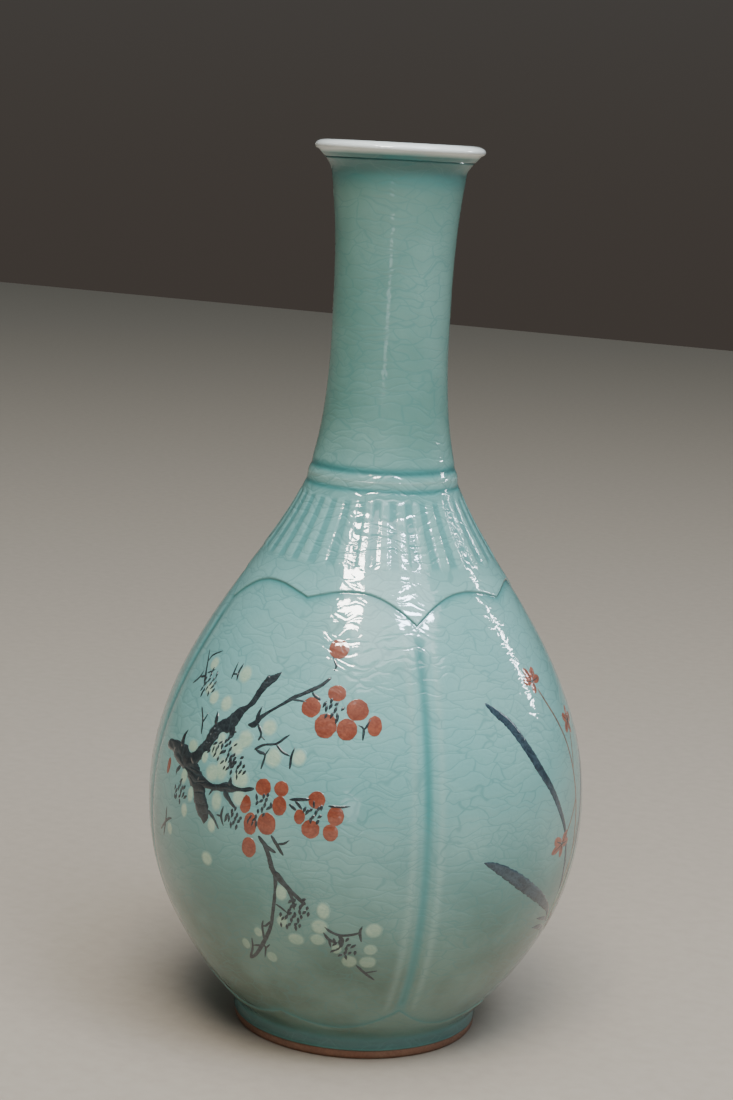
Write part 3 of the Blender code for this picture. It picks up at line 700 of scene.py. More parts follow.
def brush_stroke(bm, route, lift=STROKE_LIFT):
    """One inlaid line: a grid bent along its route, domed across, its edges just under the glaze."""
    edge = bm.verts.layers.float.get("edge") or bm.verts.layers.float.new("edge")
    line = smooth_route(route)
    last = len(line) - 1
    grid = bmesh.ops.create_grid(bm, x_segments=last, y_segments=STROKE_FACETS, size=0.5)
    for vert in grid["verts"]:
        index = round((vert.co.x + 0.5) * last)
        across = vert.co.y * 2
        angle, height, half = line[index]
        radius = outer_radius(height)
        rise = math.hypot(1.0, wall_slope(height))
        ahead = line[min(index + 1, last)]
        behind = line[max(index - 1, 0)]
        run = Vector((radius * math.radians(ahead.x - behind.x), rise * (ahead.y - behind.y)))
        side = Vector((-run.y, run.x)).normalized()
        shake = 1 + 0.16 * noise.noise(Vector((angle * 1.3, height * 1.1, across)))
        taper = (0.45, 0.85)[min(index, last - index)] if min(index, last - index) < 2 else 1.0
        off = across * half * STROKE_SPREAD * shake * taper
        domed = (lift + EDGE_SINK) * (1 - across * across) - EDGE_SINK
        vert[edge] = abs(across)
        vert.co = wall_point(
            angle + math.degrees(side.x * off / radius), height + side.y * off / rise, domed
        )


def slip_dot(bm, angle, height, half_across, half_up, lift, tilt=0.0, segments=20):
    """One rounded patch of slip: a flattened ball bent onto the wall."""
    edge = bm.verts.layers.float.get("edge") or bm.verts.layers.float.new("edge")
    radius = outer_radius(height)
    rise = math.hypot(1.0, wall_slope(height))
    turn = math.radians(tilt)
    ball = bmesh.ops.create_uvsphere(bm, u_segments=segments, v_segments=8, radius=1.0)
    for vert in ball["verts"]:
        x, y, z = vert.co
        way = math.atan2(y, x)
        uneven = 1 + 0.07 * noise.noise(Vector((2 * math.cos(way) + angle, 2 * math.sin(way) + height, 0.0)))
        across = x * half_across * DOT_SPREAD * uneven
        up = y * half_up * DOT_SPREAD * uneven
        place = (across * math.cos(turn) - up * math.sin(turn), across * math.sin(turn) + up * math.cos(turn))
        vert[edge] = math.hypot(x, y)
        vert.co = wall_point(
            angle + math.degrees(place[0] / radius),
            height + place[1] / rise,
            lift * z * z - DOT_SINK if z > 0 else SLIP_THICKNESS * z - DOT_SINK,
        )


def stroke_piece(name, routes, slip, replaced, lift=STROKE_LIFT):
    bm = bmesh.new()
    for route in routes:
        brush_stroke(bm, route, lift)
    bmesh.ops.recalc_face_normals(bm, faces=bm.faces)
    outward_faces(bm)
    bmesh.ops.solidify(bm, geom=bm.faces[:], thickness=SLIP_THICKNESS * MM)
    return finish_piece(name, bm, SLIPS[slip], replaced)


def outward_faces(bm):
    """Turns over the faces of a strip that look into the pot."""
    bm.normal_update()
    wrong = [face for face in bm.faces if face.normal.dot(Vector((*face.calc_center_median().xy, 0))) < 0]
    if wrong:
        bmesh.ops.reverse_faces(bm, faces=wrong)


def dot_piece(name, dots, slip, replaced, lift):
    bm = bmesh.new()
    for dot in dots:
        slip_dot(bm, *dot[:4], lift, *dot[4:])
    return finish_piece(name, bm, SLIPS[slip], replaced)


def node_place(node):
    """Angle and height of the middle of a CAD inlay."""
    low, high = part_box(node)
    middle = (Vector(low) + Vector(high)) / 2
    return math.degrees(math.atan2(middle.x, -middle.y)), middle.z / MM


def wall_distance(first, second):
    turn = (first[0] - second[0] + 180) % 360 - 180
    return math.hypot(BELLY_RADIUS * math.radians(turn), first[1] - second[1])


# Plum: half widths are the widths of the brush.
PLUM_STROKES = {
    "plum_trunk": [
        [(-38, 104.5, 1.4), (-32.5, 105, 2.2), (-25, 104, 3.4)],
        [(-33, 104.6, 2.6), (-28, 103.4, 3.2), (-24, 101.8, 3.5), (-20.5, 99, 3.7), (-18.2, 95.5, 3.4),
         (-17, 92, 3.2), (-15.6, 89, 3.1), (-14.8, 86.8, 2.0), (-14.8, 84.6, 0.4)],
        [(-29.5, 106, 1.6), (-29.5, 109.5, 0.8), (-28.5, 112, 0.2)],
        [(-27.5, 100, 0.9), (-29, 98, 0.6), (-29, 96.5, 0.2)],
        [(-13.5, 89.5, 0.8), (-11.5, 87.5, 0.6), (-9.5, 84.5, 0.4)],
        [(-8.5, 92.5, 0.3), (-9, 89, 0.5), (-8, 86, 0.3)],
        [(-10.5, 89, 0.4), (-9, 89, 0.4)],
        [(-19, 98.5, 2.2), (-14, 97.6, 1.1), (-11.5, 97.8, 1.1), (-8, 98.8, 1.6), (-5.5, 98.9, 1.1),
         (-3, 99.3, 0.8), (0, 100.5, 0.6)],
        [(-7.5, 99.5, 1.2), (-7.5, 102.5, 0.3)],
        [(-9, 97.5, 1.2), (-7, 95, 0.8), (-4.5, 92.5, 0.4)],
        [(-12.5, 97.5, 0.5), (-14, 94.5, 0.3)],
        [(-23, 103, 2.8), (-21.5, 105.5, 2.6), (-19.2, 108.5, 2.1), (-17.8, 111.5, 2.3), (-17, 114.5, 2.4),
         (-15, 116.6, 2.2), (-12.5, 118, 2.7), (-11, 120.5, 2.3), (-9.6, 123, 1.6), (-7.8, 124.8, 0.8),
         (-6.6, 126.5, 1.1), (-5.2, 130.5, 1.3), (-3.8, 133.4, 1.6)],
        [(-17.5, 117, 1.2), (-18, 119.5, 0.6), (-18.5, 121, 0.2)],
        [(-11.5, 118.5, 1.6), (-10.5, 115.5, 1.1), (-11.5, 113.5, 0.3)],
        [(-11, 116, 0.9), (-9, 116.5, 0.3)],
        [(-4.8, 131.5, 1.3), (-3.6, 133.4, 1.6), (-1.9, 134.9, 1.3), (-0.9, 136, 0.8), (0, 137, 0.2)],
        [(-4.5, 133.5, 0.9), (-4, 135.5, 0.5)],
    ],
    "plum_long_twig": [
        [(-6, 119.5, 0.6), (-4, 120, 1.1), (-2.5, 122.5, 0.8), (0, 125, 0.5), (3, 127.5, 0.5),
         (6, 130, 0.7),
         (8.5, 131.5, 0.6), (11, 133, 0.7), (14, 135, 0.6), (16.5, 137.5, 0.5)],
        [(-3.5, 121, 0.9), (-3.5, 123.5, 0.6), (-3, 126, 0.2)],
        [(-3, 120.5, 0.5), (-1.5, 118.5, 0.5), (-1, 117, 0.4), (-1.5, 115.5, 0.6)],
        [(-1, 117, 0.4), (0.5, 116, 0.2)],
        [(11.5, 132.5, 0.6), (12.5, 131.5, 0.5), (14.5, 130.5, 0.7)],
        [(5.5, 129.5, 0.5), (7.5, 129.5, 0.4), (10.5, 129.5, 0.3)],
        [(17, 139.5, 0.3), (17.5, 141, 0.4), (16, 143.5, 0.3)],
        [(26, 124, 0.2), (27.5, 123, 0.4), (27.5, 119.5, 0.4)],
        [(29.5, 126, 0.4), (28.5, 124, 0.4), (27.5, 122.5, 0.4)],
    ],
    "plum_middle_twig": [
        [(-2, 112.5, 0.6), (0.5, 114.5, 0.4), (4, 115.5, 0.4), (6, 117.5, 0.4), (7.5, 119, 0.2)],
        [(4, 115.5, 0.4), (6, 113.5, 0.4), (8.5, 112.5, 0.4)],
        [(9.5, 115.5, 0.2), (9, 112.5, 0.5), (9, 108.5, 0.4)],
        [(-1.5, 112.5, 0.6), (0, 112, 0.6), (1.5, 111.5, 0.4), (1, 107, 0.4)],
        [(1.5, 111.5, 0.4), (2.5, 114, 0.2)],
        [(10, 99, 0.4), (12.5, 99.5, 0.6), (15.5, 100, 0.4)],
        [(11.5, 99, 0.5), (13.5, 96.5, 0.5)],
        [(10, 97.5, 0.5), (12, 96, 0.6)],
        [(20, 98.5, 0.4), (23, 98.5, 0.4), (25.5, 99, 0.2)],
    ],
    "plum_top_twig": [
        [(-36.5, 137, 0.3), (-33.5, 133.5, 0.4), (-31.5, 130.5, 0.5), (-30.5, 129, 0.6), (-29, 126.5, 0.3)],
        [(-33.5, 133.5, 0.4), (-32.5, 136, 0.4), (-28, 138.5, 0.2)],
        [(-33, 131, 0.2), (-34, 128, 0.4), (-36.5, 125.5, 0.4)],
        [(-33.5, 128.5, 0.5), (-30.5, 129.5, 0.5)],
        [(-30.5, 130.5, 0.4), (-27, 132.5, 0.2)],
        [(-18, 137, 0.2), (-18, 134, 0.4), (-18, 131.5, 0.3)],
        [(-15.5, 137, 0.3), (-16, 134, 0.5), (-15.5, 131.5, 0.3)],
        [(-18, 133, 0.4), (-16, 133.5, 0.4)],
        [(-26, 120.5, 0.4), (-23.5, 117, 0.4), (-22, 112.5, 0.4)],
        [(-22, 119.5, 0.3), (-23, 116, 0.4)],
        [(-32, 84.5, 0.3), (-32.5, 79.5, 0.5), (-34, 73.5, 0.4)],
        [(-29, 81.5, 0.3), (-31.5, 80, 0.5), (-36, 75, 0.4)],
    ],
    "plum_lower_spray": [
        [(2.5, 85.5, 0.6), (4, 83.5, 0.7), (5.5, 80, 0.8), (7, 74.5, 0.9), (10.5, 69.5, 0.7),
         (13, 67, 0.7)],
        [(3, 85, 0.6), (5, 82.5, 0.7), (7.5, 81, 0.5)],
        [(6, 86.5, 0.5), (7.5, 84, 0.6), (9.5, 80.5, 0.5)],
        [(8, 84, 0.5), (9.5, 84.5, 0.4), (11, 86, 0.2)],
        [(7.5, 74.5, 0.8), (7.5, 68, 0.6), (6.5, 59.5, 0.6), (5.5, 54, 0.6), (3, 48, 0.7),
         (-0.5, 42, 0.6), (-3.5, 39, 0.5)],
        [(7.5, 74.5, 0.9), (11, 69.5, 0.7), (14, 66, 0.7), (15.5, 64.5, 0.7)],
        [(10.5, 70, 0.6), (12, 66, 0.6), (12.5, 62, 0.3)],
        [(7.5, 63, 0.4), (9, 62, 0.4), (10.5, 60.5, 0.3)],
        [(6, 56.5, 0.4), (4, 54, 0.4), (3, 54, 0.3)],
        [(3.5, 56, 0.3), (3, 53.5, 0.4), (3, 48.5, 0.5)],
        [(2, 46, 0.4), (-1, 45, 0.4)],
        [(-1, 48, 0.3), (-1.5, 44, 0.4), (-3.5, 39, 0.5)],
        [(2, 46.5, 0.4), (3, 45.5, 0.4), (2, 41, 0.2)],
        [(3, 45, 0.4), (4.5, 47, 0.3)],
    ],
    "plum_right_spray": [
        [(20, 57.5, 0.3), (22, 55.5, 0.5), (24.5, 54.5, 0.5), (27.5, 55, 0.5), (29.5, 56, 0.4)],
        [(30, 58.5, 0.3), (29.5, 56, 0.5), (30, 52.5, 0.4)],
        [(20, 55, 0.3), (21.5, 52.5, 0.6), (23.5, 51.5, 0.4)],
        [(21.5, 52.5, 0.5), (22, 49.5, 0.3)],
        [(24, 54.5, 0.6), (25, 52.5, 0.7), (24.5, 50, 0.4)],
        [(29, 43, 0.4), (31.5, 40, 0.5), (34.5, 37, 0.4)],
        [(31.5, 40, 0.4), (35, 41, 0.3)],
    ],
}
# Petals and buds: angle, height, half width and half height.
RED_PETALS = [
    (12, 128, 3.0, 3.1), (17, 123, 3.4, 3.7), (23, 122.5, 3.1, 3.3), (25.5, 128.5, 3.3, 3.4),
    (19, 133, 2.8, 2.5),
    (2.5, 101.5, 2.6, 2.6), (7.5, 102, 2.3, 2.3), (7.5, 96.5, 2.3, 2.9), (-2, 95, 2.0, 2.8),
    (0, 89, 2.3, 3.4),
    (4.5, 90, 3.1, 3.3), (17, 100, 2.6, 2.6), (13, 94, 1.7, 2.2), (16, 90.5, 2.8, 2.8),
    (22, 95.5, 2.5, 2.9),
    (21, 90, 2.3, 2.6),
]
RED_BUDS = [(30.5, 124, 2.2, 3.1), (17.5, 146, 3.1, 3.1), (0, 81, 2.5, 3.1), (-34, 98, 1.2, 2.5)]
PALE_PETALS = [
    (-24, 108, 2.8, 2.2), (-18, 106, 1.6, 2.2), (-14, 102, 3.4, 3.1), (-11, 104, 2.8, 4.3),
    (-4.5, 102.5, 3.4, 3.1),
    (-11, 93.5, 2.3, 3.4), (-12, 85, 1.9, 2.5), (-25, 97.5, 1.9, 2.8), (-21, 92.5, 1.6, 2.8),
    (-23, 86.5, 1.9, 2.5),
    (-30, 77.5, 1.9, 2.2), (-7.5, 112, 2.8, 2.8), (-13.5, 73, 2.5, 2.5), (-14.5, 109, 2.8, 2.8),
    (4, 111, 3.1, 3.1),
    (-4, 96.5, 2.8, 2.8), (-29, 134, 2.5, 2.5), (-13, 134, 2.8, 3.1), (-22, 124.5, 2.5, 2.5),
    (-16, 124, 2.8, 2.8),
    (-13.5, 113, 1.9, 2.5), (-26, 126.5, 2.2, 2.2), (-5.5, 115, 3.1, 3.1), (1, 120, 2.8, 2.8),
    (4, 112, 2.5, 2.5),
    (11, 112.5, 2.5, 2.8), (9, 67.5, 2.2, 2.8), (20, 63, 2.2, 3.1), (19, 57, 2.8, 2.8),
    (12.5, 51, 2.8, 2.2),
    (18.5, 52, 2.5, 2.2), (1.5, 51, 1.6, 1.9), (-3.5, 45, 1.6, 2.2), (4.5, 42, 1.9, 2.2),
    (33, 57, 2.8, 2.8),
    (32, 44.5, 2.8, 2.5), (27, 44.5, 2.5, 2.5), (9, 57, 1.9, 2.2), (23.5, 49, 1.6, 1.9),
    (32.5, 49.5, 2.2, 2.2),
]
# Stamens: angle and height of each spray's middle, its reach and how many.
STAMENS = {
    "plum_red_blossom_1": [(18.5, 128, 3.6, 11)],
    "plum_red_blossom_2": [(3, 96, 3.6, 12), (0.5, 90.5, 2.0, 6)],
    "plum_red_blossom_3": [(16.5, 96, 3.4, 11)],
    "plum_white_blossom_1": [(-10.5, 109, 5.0, 20), (-6.5, 106, 4.0, 15)],
    "plum_white_blossom_2": [(-16, 111, 4.4, 15)],
    "plum_white_blossom_3": [(-27, 128, 4.4, 16)],
    "plum_white_blossom_4": [(-26, 92, 4.0, 14)],
    "plum_white_blossom_6": [(-5, 89.5, 3.4, 13)],
    "plum_white_blossom_8": [(11, 58, 4.0, 14)],
    "plum_white_blossom_9": [(13.5, 63, 4.0, 14)],
    "plum_white_blossom_10": [(25.5, 49.5, 4.2, 15)],
}


def stamen_routes(sprays, seed):
    """Short flicks of black slip, scattered over the middle of a blossom and leaning much the same way."""
    draw = random.Random(seed)
    routes = []
    for angle, height, reach, count in sprays:
        radius = outer_radius(height)
        for index in range(count):
            way = index * GOLDEN_TURN + draw.uniform(-0.3, 0.3)
            out = reach * math.sqrt((index + 0.5) / count)
            lean = math.radians(draw.uniform(35, 105))
            half_length = draw.uniform(0.8, 1.25)
            route = []
            for step, half in ((-half_length, 0.26), (0.0, 0.50), (half_length, 0.36)):
                across = out * math.cos(way) + step * math.cos(lean)
                up = out * math.sin(way) + step * math.sin(lean)
                route.append((angle + math.degrees(across / radius), height + up, half))
            routes.append(route)
    return routes


def make_plum_panel():
    for node, routes in PLUM_STROKES.items():
        stroke_piece(node + "_slip", routes, "iron_slip", [node])
    kinds = (("plum_red_blossom_", 3, RED_PETALS, "copper_slip", COLOUR_LIFT),
             ("plum_white_blossom_", 10, PALE_PETALS, "white_slip", PALE_LIFT))
    for prefix, count, petals, slip, lift in kinds:
        nodes = [f"{prefix}{index}" for index in range(1, count + 1)]
        places = {node: node_place(node) for node in nodes}
        shares = {node: [] for node in nodes}
        for petal in petals:
            nearest = min(nodes, key=lambda node: wall_distance(places[node], petal))
            shares[nearest].append(petal)
        for node in nodes:
            if shares[node]:
                dot_piece(node + "_petals", shares[node], slip, [node], lift)
    for index, bud in enumerate(RED_BUDS, 1):
        node = f"plum_red_bud_{index}"
        dot_piece(node + "_slip", [bud], "copper_slip", [node], COLOUR_LIFT)
    for seed, (node, sprays) in enumerate(STAMENS.items(), 11):
        name = node.replace("blossom", "stamens")
        stroke_piece(name, stamen_routes(sprays, seed), "iron_slip", [], STAMEN_LIFT)


# Orchid: a clump of arching leaves, brown flower stalks and pale grass.
ORCHID_LEAVES = {
    "orchid_leaf_1": [
        [(64.5, 130, 0.4), (67.5, 127, 1.2), (72, 122.5, 1.6), (76.5, 115, 1.7), (81, 106.5, 1.7),
         (85, 99.5, 1.4),
         (88.5, 92, 1.2), (92, 84, 0.9), (94, 77, 0.8), (96.5, 62, 0.8), (97.8, 47, 0.6)],
    ],
    "orchid_leaf_2": [
        [(60.5, 79.5, 0.3), (64, 77.5, 1.4), (68, 74.5, 2), (74, 69.5, 2.4), (80.5, 64, 2.2),
         (87, 58.5, 1.7),
         (92.5, 53.5, 0.9), (96, 48, 0.6)],
    ],
    "orchid_leaf_3": [
        [(100, 44, 0.7), (102, 60, 1.3), (105.5, 80, 1.6), (110, 97, 1.7), (117, 109, 1.3),
         (123.5, 114, 0.3)],
    ],
    "orchid_leaf_4": [
        [(102, 42, 0.7), (106, 50, 1.3), (112, 58, 1.6), (119, 62.5, 1.2), (125, 62.5, 0.3)],
    ],
    "orchid_leaf_5": [
        [(86, 49, 0.2), (90.8, 47.8, 1.0), (95, 45.5, 0.9), (98, 41.5, 0.3)],
        [(86.5, 52.5, 0.2), (91.5, 50.8, 0.8), (97, 48.5, 0.6)],
    ],
}
ORCHID_STALKS = [
    [(99.5, 44, 0.5), (100.3, 68, 0.6), (100.8, 90, 0.6), (98.5, 112, 0.5), (90, 131, 0.4)],
    [(103.5, 82, 0.2), (100.8, 72.5, 0.5), (97.5, 63, 0.5), (97, 50, 0.4)],
    [(100.8, 92, 0.4), (97, 86, 0.4), (92, 79.5, 0.4)],
    [(100.5, 102, 0.4), (103, 110, 0.4), (105, 115, 0.3)],
]
ORCHID_GRASS = [
    [(102, 76, 0.2), (99, 67, 0.5), (96.5, 57, 0.4), (96, 48, 0.3)],
    [(105, 72, 0.2), (101.5, 61, 0.5), (99, 50, 0.4)],
]
# Flowers: angle and height of the middle, then reach, half width and lean of each petal.
ORCHID_FLOWERS = {
    "orchid_flower_1": (91, 78.5, [(6.2, 1.7, 158), (7.2, 1.4, 194), (5.2, 1.6, 48), (5.0, 1.5, 2),
        (4.4, 1.4, 262)]),
    "orchid_flower_2": (105, 117, [(5.6, 1.6, 150), (6.0, 1.5, 205), (5.4, 1.6, 62), (6.0, 1.5, 10),
        (4.4, 1.4, 280)]),
    "orchid_flower_3": (88.5, 133.5, [(5.2, 1.5, 170), (5.6, 1.4, 120), (5.4, 1.5, 55), (5.4, 1.4, 8),
        (4.0, 1.3, 262)]),
}


def leaning_petal(angle, height, reach, half_width, lean):
    """One long petal from the middle of a flower, as a dot of slip turned to its lean."""
    out = reach * 0.56
    turn = math.radians(lean)
    radius = outer_radius(height)
    rise = math.hypot(1.0, wall_slope(height))
    place = (angle + math.degrees(out * math.cos(turn) / radius), height + out * math.sin(turn) / rise)
    return (*place, reach * 0.46, half_width, lean)


def make_orchid_panel():
    for node, routes in ORCHID_LEAVES.items():
        stroke_piece(node + "_slip", routes, "blue_slip", [node])
    stroke_piece("orchid_stalks_slip", ORCHID_STALKS, "brown_slip", ["orchid_flower_stem"], PALE_LIFT)
    stroke_piece("orchid_grass_slip", ORCHID_GRASS, "white_slip", [], COLOUR_LIFT)
    for node, (angle, height, petals) in ORCHID_FLOWERS.items():
        dots = [leaning_petal(angle, height, *petal) for petal in petals]
        dot_piece(node + "_petals", dots, "petal_slip", [node], COLOUR_LIFT)
        veins = []
        for reach, half_width, lean in petals:
            tip = leaning_petal(angle, height, reach * 1.5, half_width, lean)
            middle = ((angle + tip[0]) / 2, (height + tip[1]) / 2, 0.28)
            veins.append([(angle, height, 0.15), middle, (tip[0], tip[1], 0.12)])
        stroke_piece(node.replace("flower", "veins"), veins, "iron_slip", [], STAMEN_LIFT)


# Chrysanthemum: three heads of narrow pale petals on one branching stem.
CHRYSANTHEMUM_STEM = [
    [(181, 28, 1.1), (178.5, 44, 1.1), (177.5, 58, 1.1), (179, 72, 1.0), (181, 86, 1.0), (180, 99, 0.9),
     (178, 114, 0.8)],
    [(180, 77, 0.9), (174, 82, 0.8), (169, 87.5, 0.8), (164.5, 98, 0.6)],
    [(178, 61, 0.9), (184, 65.5, 0.8), (190, 70.5, 0.8), (195.5, 80, 0.6)],
    [(178.2, 44, 0.7), (174, 42, 0.6), (171, 41.5, 0.4)],
    [(177.6, 54, 0.7), (183, 52, 0.6), (187, 51, 0.4)],
    [(181, 92, 0.7), (184.5, 97, 0.5), (187, 100, 0.4)],
]
CHRYSANTHEMUM_LEAVES = {
    "chrysanthemum_leaf_1": (174, 58.5, 168),
    "chrysanthemum_leaf_2": (184, 52, -32),
    "chrysanthemum_leaf_3": (176.5, 43.5, 185),
    "chrysanthemum_leaf_4": (184.5, 96.5, 38),
    "chrysanthemum_leaf_5": (172, 78.5, 190),
}
LEAF_LOBES = ((11.5, 1.9, 0), (8.4, 1.5, 34), (8.4, 1.5, -34), (5.2, 1.2, 68), (5.2, 1.2, -68))
CHRYSANTHEMUM_FLOWERS = {
    "chrysanthemum_flower_1": (178, 123, 9.4, 16),
    "chrysanthemum_flower_2": (161.5, 106, 8.0, 14),
    "chrysanthemum_flower_3": (198, 88, 8.4, 15),
}


def make_chrysanthemum_panel():
    stroke_piece("chrysanthemum_stem_slip", CHRYSANTHEMUM_STEM, "iron_slip", ["chrysanthemum_stem"])
    for node, (angle, height, lean) in CHRYSANTHEMUM_LEAVES.items():
        routes = []
        for reach, half_width, spread in LEAF_LOBES:
            turn = math.radians(lean + spread)
            step = math.degrees(reach * math.cos(turn) / outer_radius(height))
            rise = reach * math.sin(turn)
            routes.append([
                (angle, height, 0.5), (angle + 0.35 * step, height + 0.35 * rise, half_width * 0.85),
                (angle + 0.7 * step, height + 0.7 * rise, half_width), (angle + step, height + rise, 0.25),
            ])
        stroke_piece(node + "_slip", routes, "blue_slip", [node])
    for seed, (node, (angle, height, reach, count)) in enumerate(CHRYSANTHEMUM_FLOWERS.items(), 61):
        draw = random.Random(seed)
        rays = [
            (reach * draw.uniform(0.9, 1.04), 0.95, index * 360 / count + draw.uniform(-4, 4))
            for index in range(count)
        ]
        rays += [(reach * 0.58, 0.8, index * 360 / 9 + 12) for index in range(9)]
        dots = [leaning_petal(angle, height, *ray) for ray in rays]
        dot_piece(node + "_petals", dots, "white_slip", [node], COLOUR_LIFT)
        veins = []
        for way in range(0, 360, 24):
            turn = math.radians(way)
            radius = outer_radius(height)
            veins.append([
                (angle + math.degrees(out * math.cos(turn) / radius), height + out * math.sin(turn), half)
                for out, half in ((2.0, 0.16), (reach * 0.45, 0.26), (reach * 0.72, 0.12))
            ])
        stroke_piece(node.replace("flower", "veins"), veins, "iron_slip", [], STAMEN_LIFT)
        heart = [(angle, height, 1.5, 1.5, 0.0)]
        dot_piece(node.replace("flower", "heart"), heart, "petal_slip", [], STAMEN_LIFT + 0.02)


# Bamboo: two jointed stalks with leaves in threes.
BAMBOO_STALKS = {
    "bamboo_stalk_1": [
        [(261, 28, 1.8), (262, 57, 1.5), (262.2, 60, 2.0)],
        [(262.2, 60.8, 1.9), (262.4, 64, 1.4), (265, 97, 1.4), (265.2, 100, 1.8)],
        [(265.2, 100.8, 1.7), (265.4, 104, 1.2), (267.5, 122, 1.1), (270, 145, 0.6)],
        [(265.6, 106, 0.5), (261.5, 112, 0.5), (258, 116, 0.4)],
        [(267.2, 118, 0.5), (272, 122, 0.5), (275.5, 126, 0.4)],
        [(262.6, 68, 0.5), (259, 72, 0.5), (256.5, 74, 0.4)],
    ],
    "bamboo_stalk_2": [
        [(280, 30, 1.3), (281, 50, 1.1), (281.2, 53, 1.5)],
        [(281.2, 53.8, 1.4), (281.4, 57, 1.0), (283, 78, 0.9), (283.2, 80, 1.2)],
        [(283.2, 80.7, 1.1), (284, 92, 0.8), (286.5, 97, 0.5)],
    ],
}
BAMBOO_LEAVES = [
    ((259, 112), (243, 104)), ((260, 118), (240, 121)), ((261, 124), (246, 136)), ((274, 120), (288, 111)),
    ((276, 126), (294, 127)), ((276, 132), (290, 141)), ((287, 95), (301, 86)), ((287, 100), (302, 102)),
    ((257, 70), (242, 62)), ((257, 76), (240, 77)),
]


def make_bamboo_panel():
    for node, routes in BAMBOO_STALKS.items():
        stroke_piece(node + "_slip", routes, "iron_slip", [node])
    for index, (root, tip) in enumerate(BAMBOO_LEAVES, 1):
        route = [
            (root[0] + (tip[0] - root[0]) * t, root[1] + (tip[1] - root[1]) * t, half)
            for t, half in ((0.0, 0.3), (0.3, 1.9), (0.6, 1.6), (1.0, 0.15))
        ]
        stroke_piece(f"bamboo_leaf_{index}_slip", [route], "blue_slip", [f"bamboo_leaf_{index}"])


# ---------------------------------------------------------------- studio
CAMERA_AZIMUTH = 29.0
CAMERA_AWAY = 0.788
CAMERA_HEIGHT = 0.308
CAMERA_YAW = -0.31
CAMERA_PITCH = 9.95
CAMERA_ROLL = 3.05
CAMERA_LENS = 75.14


def direction(azimuth, elevation):
    turn, rise = math.radians(azimuth), math.radians(elevation)
    return Vector((math.sin(turn) * math.cos(rise), -math.cos(turn) * math.cos(rise), math.sin(rise)))


def make_camera():
    yaw, pitch, roll = (math.radians(value) for value in (CAMERA_YAW, CAMERA_PITCH, CAMERA_ROLL))
    ahead = Vector((math.sin(yaw) * math.cos(pitch), math.cos(yaw) * math.cos(pitch), -math.sin(pitch)))
    right = Vector((math.cos(yaw), -math.sin(yaw), 0.0))
    over = right.cross(ahead)
    level = math.cos(roll) * right + math.sin(roll) * over
    upright = math.cos(roll) * over - math.sin(roll) * right
    facing = Matrix((level, upright, -ahead)).transposed().to_4x4()
    round_pot = Matrix.Rotation(math.radians(CAMERA_AZIMUTH), 4, "Z")
    data = bpy.data.cameras.new("camera")
    data.lens = CAMERA_LENS
    camera = bpy.data.objects.new("camera", data)
    camera.matrix_world = round_pot @ Matrix.Translation((0.0, -CAMERA_AWAY, CAMERA_HEIGHT)) @ facing
    bpy.context.scene.collection.objects.link(camera)
    bpy.context.scene.camera = camera


POT_MIDDLE = 0.16


def make_light(name, azimuth, elevation, away, size, power, colour, seen_in="both"):
    """A rectangular soft lamp that looks at the pot from this direction.

    A lamp that is seen in the glaze only, or on the clay only, leaves the other kind of light alone."""
    data = bpy.data.lights.new(name, "AREA")
    data.shape = "RECTANGLE"
    data.size, data.size_y = size
    data.energy = power
    data.color = linear(colour)[:3]
    lamp = bpy.data.objects.new(name, data)
    aim = direction(azimuth, elevation)
    place = Matrix.Translation(aim * away + Vector((0, 0, POT_MIDDLE)))
    lamp.matrix_world = place @ aim.to_track_quat("Z", "Y").to_matrix().to_4x4()
    lamp.visible_diffuse = seen_in != "glaze"
    lamp.visible_glossy = seen_in != "clay"
    bpy.context.scene.collection.objects.link(lamp)


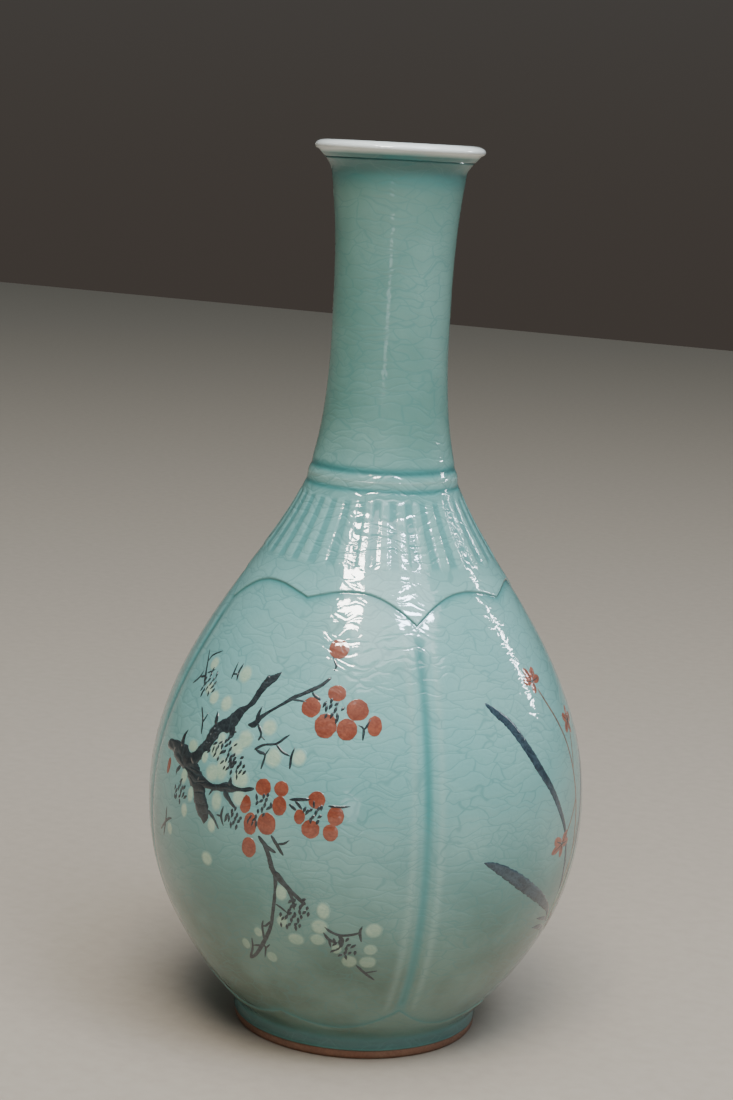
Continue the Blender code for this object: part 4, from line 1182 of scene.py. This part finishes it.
def make_world():
    world = bpy.data.worlds.new("soft_studio")
    world.use_nodes = True
    tree = world.node_tree
    tree.nodes.clear()
    way = add_node(tree, "TexCoord").outputs["Generated"]
    up = add_node(tree, "SeparateXYZ", sockets={"Vector": way}).outputs["Z"]
    share = add_node(tree, "MapRange", EVENLY, [up, -0.1, 0.9])
    sky = add_node(
        tree, "Mix", COLOURS, {0: share.outputs[0], 6: linear("#69615A"), 7: linear("#A9B8BE")}
    )
    back = add_node(tree, "Background", sockets={"Color": sky.outputs[2], "Strength": 0.38})
    add_node(tree, "OutputWorld", sockets={"Surface": back.outputs[0]})
    bpy.context.scene.world = world


def make_floor():
    """A plain pale table top."""
    bm = bmesh.new()
    bmesh.ops.create_grid(bm, x_segments=4, y_segments=4, size=3.0)
    mesh = bpy.data.meshes.new("floor")
    bm.to_mesh(mesh)
    bm.free()
    material, tree = new_material("pale_table_top")
    place = add_node(tree, "TexCoord").outputs["Object"]
    speck = add_node(tree, "TexNoise", sockets={"Vector": place, "Scale": 1 / (6 * MM), "Detail": 4.0})
    tone = add_node(
        tree, "Mix", COLOURS, {0: speck.outputs["Fac"], 6: linear("#A6998A"), 7: linear("#B4A899")}
    )
    shader = add_node(
        tree, "BsdfPrincipled", sockets={"Base Color": tone.outputs[2], "Roughness": 0.7}
    )
    add_node(tree, "OutputMaterial", sockets={"Surface": shader.outputs[0]})
    mesh.materials.append(material)
    floor = bpy.data.objects.new("floor", mesh)
    bpy.context.scene.collection.objects.link(floor)


def make_studio():
    make_floor()
    make_world()
    make_light("overhead_tube", 1, 54.4, 1.5, (0.46, 0.17), 27, "#FFF8EE", "glaze")
    make_light("side_window", 71, 55.6, 1.5, (0.36, 0.10), 14, "#D6E8FF", "glaze")
    make_light("back_window", 142, 22, 1.5, (0.05, 0.6), 5, "#F2F7FF", "glaze")
    make_light("low_window", 22, 0, 1.5, (0.16, 0.28), 0.3, "#EEF4F6", "glaze")
    make_light("key", 24, 56, 1.5, (0.6, 0.6), 14, "#FFF8EE", "clay")
    make_light("side_key", 71, 53, 1.5, (0.6, 0.6), 11, "#DCEBFF", "clay")
    make_light("ceiling", 50, 74, 2.2, (2.2, 2.2), 57, "#F0F6FA")


make_body()
make_neck()
make_lip()
make_foot()
make_plum_panel()
make_orchid_panel()
make_chrysanthemum_panel()
make_bamboo_panel()
make_studio()
make_camera()
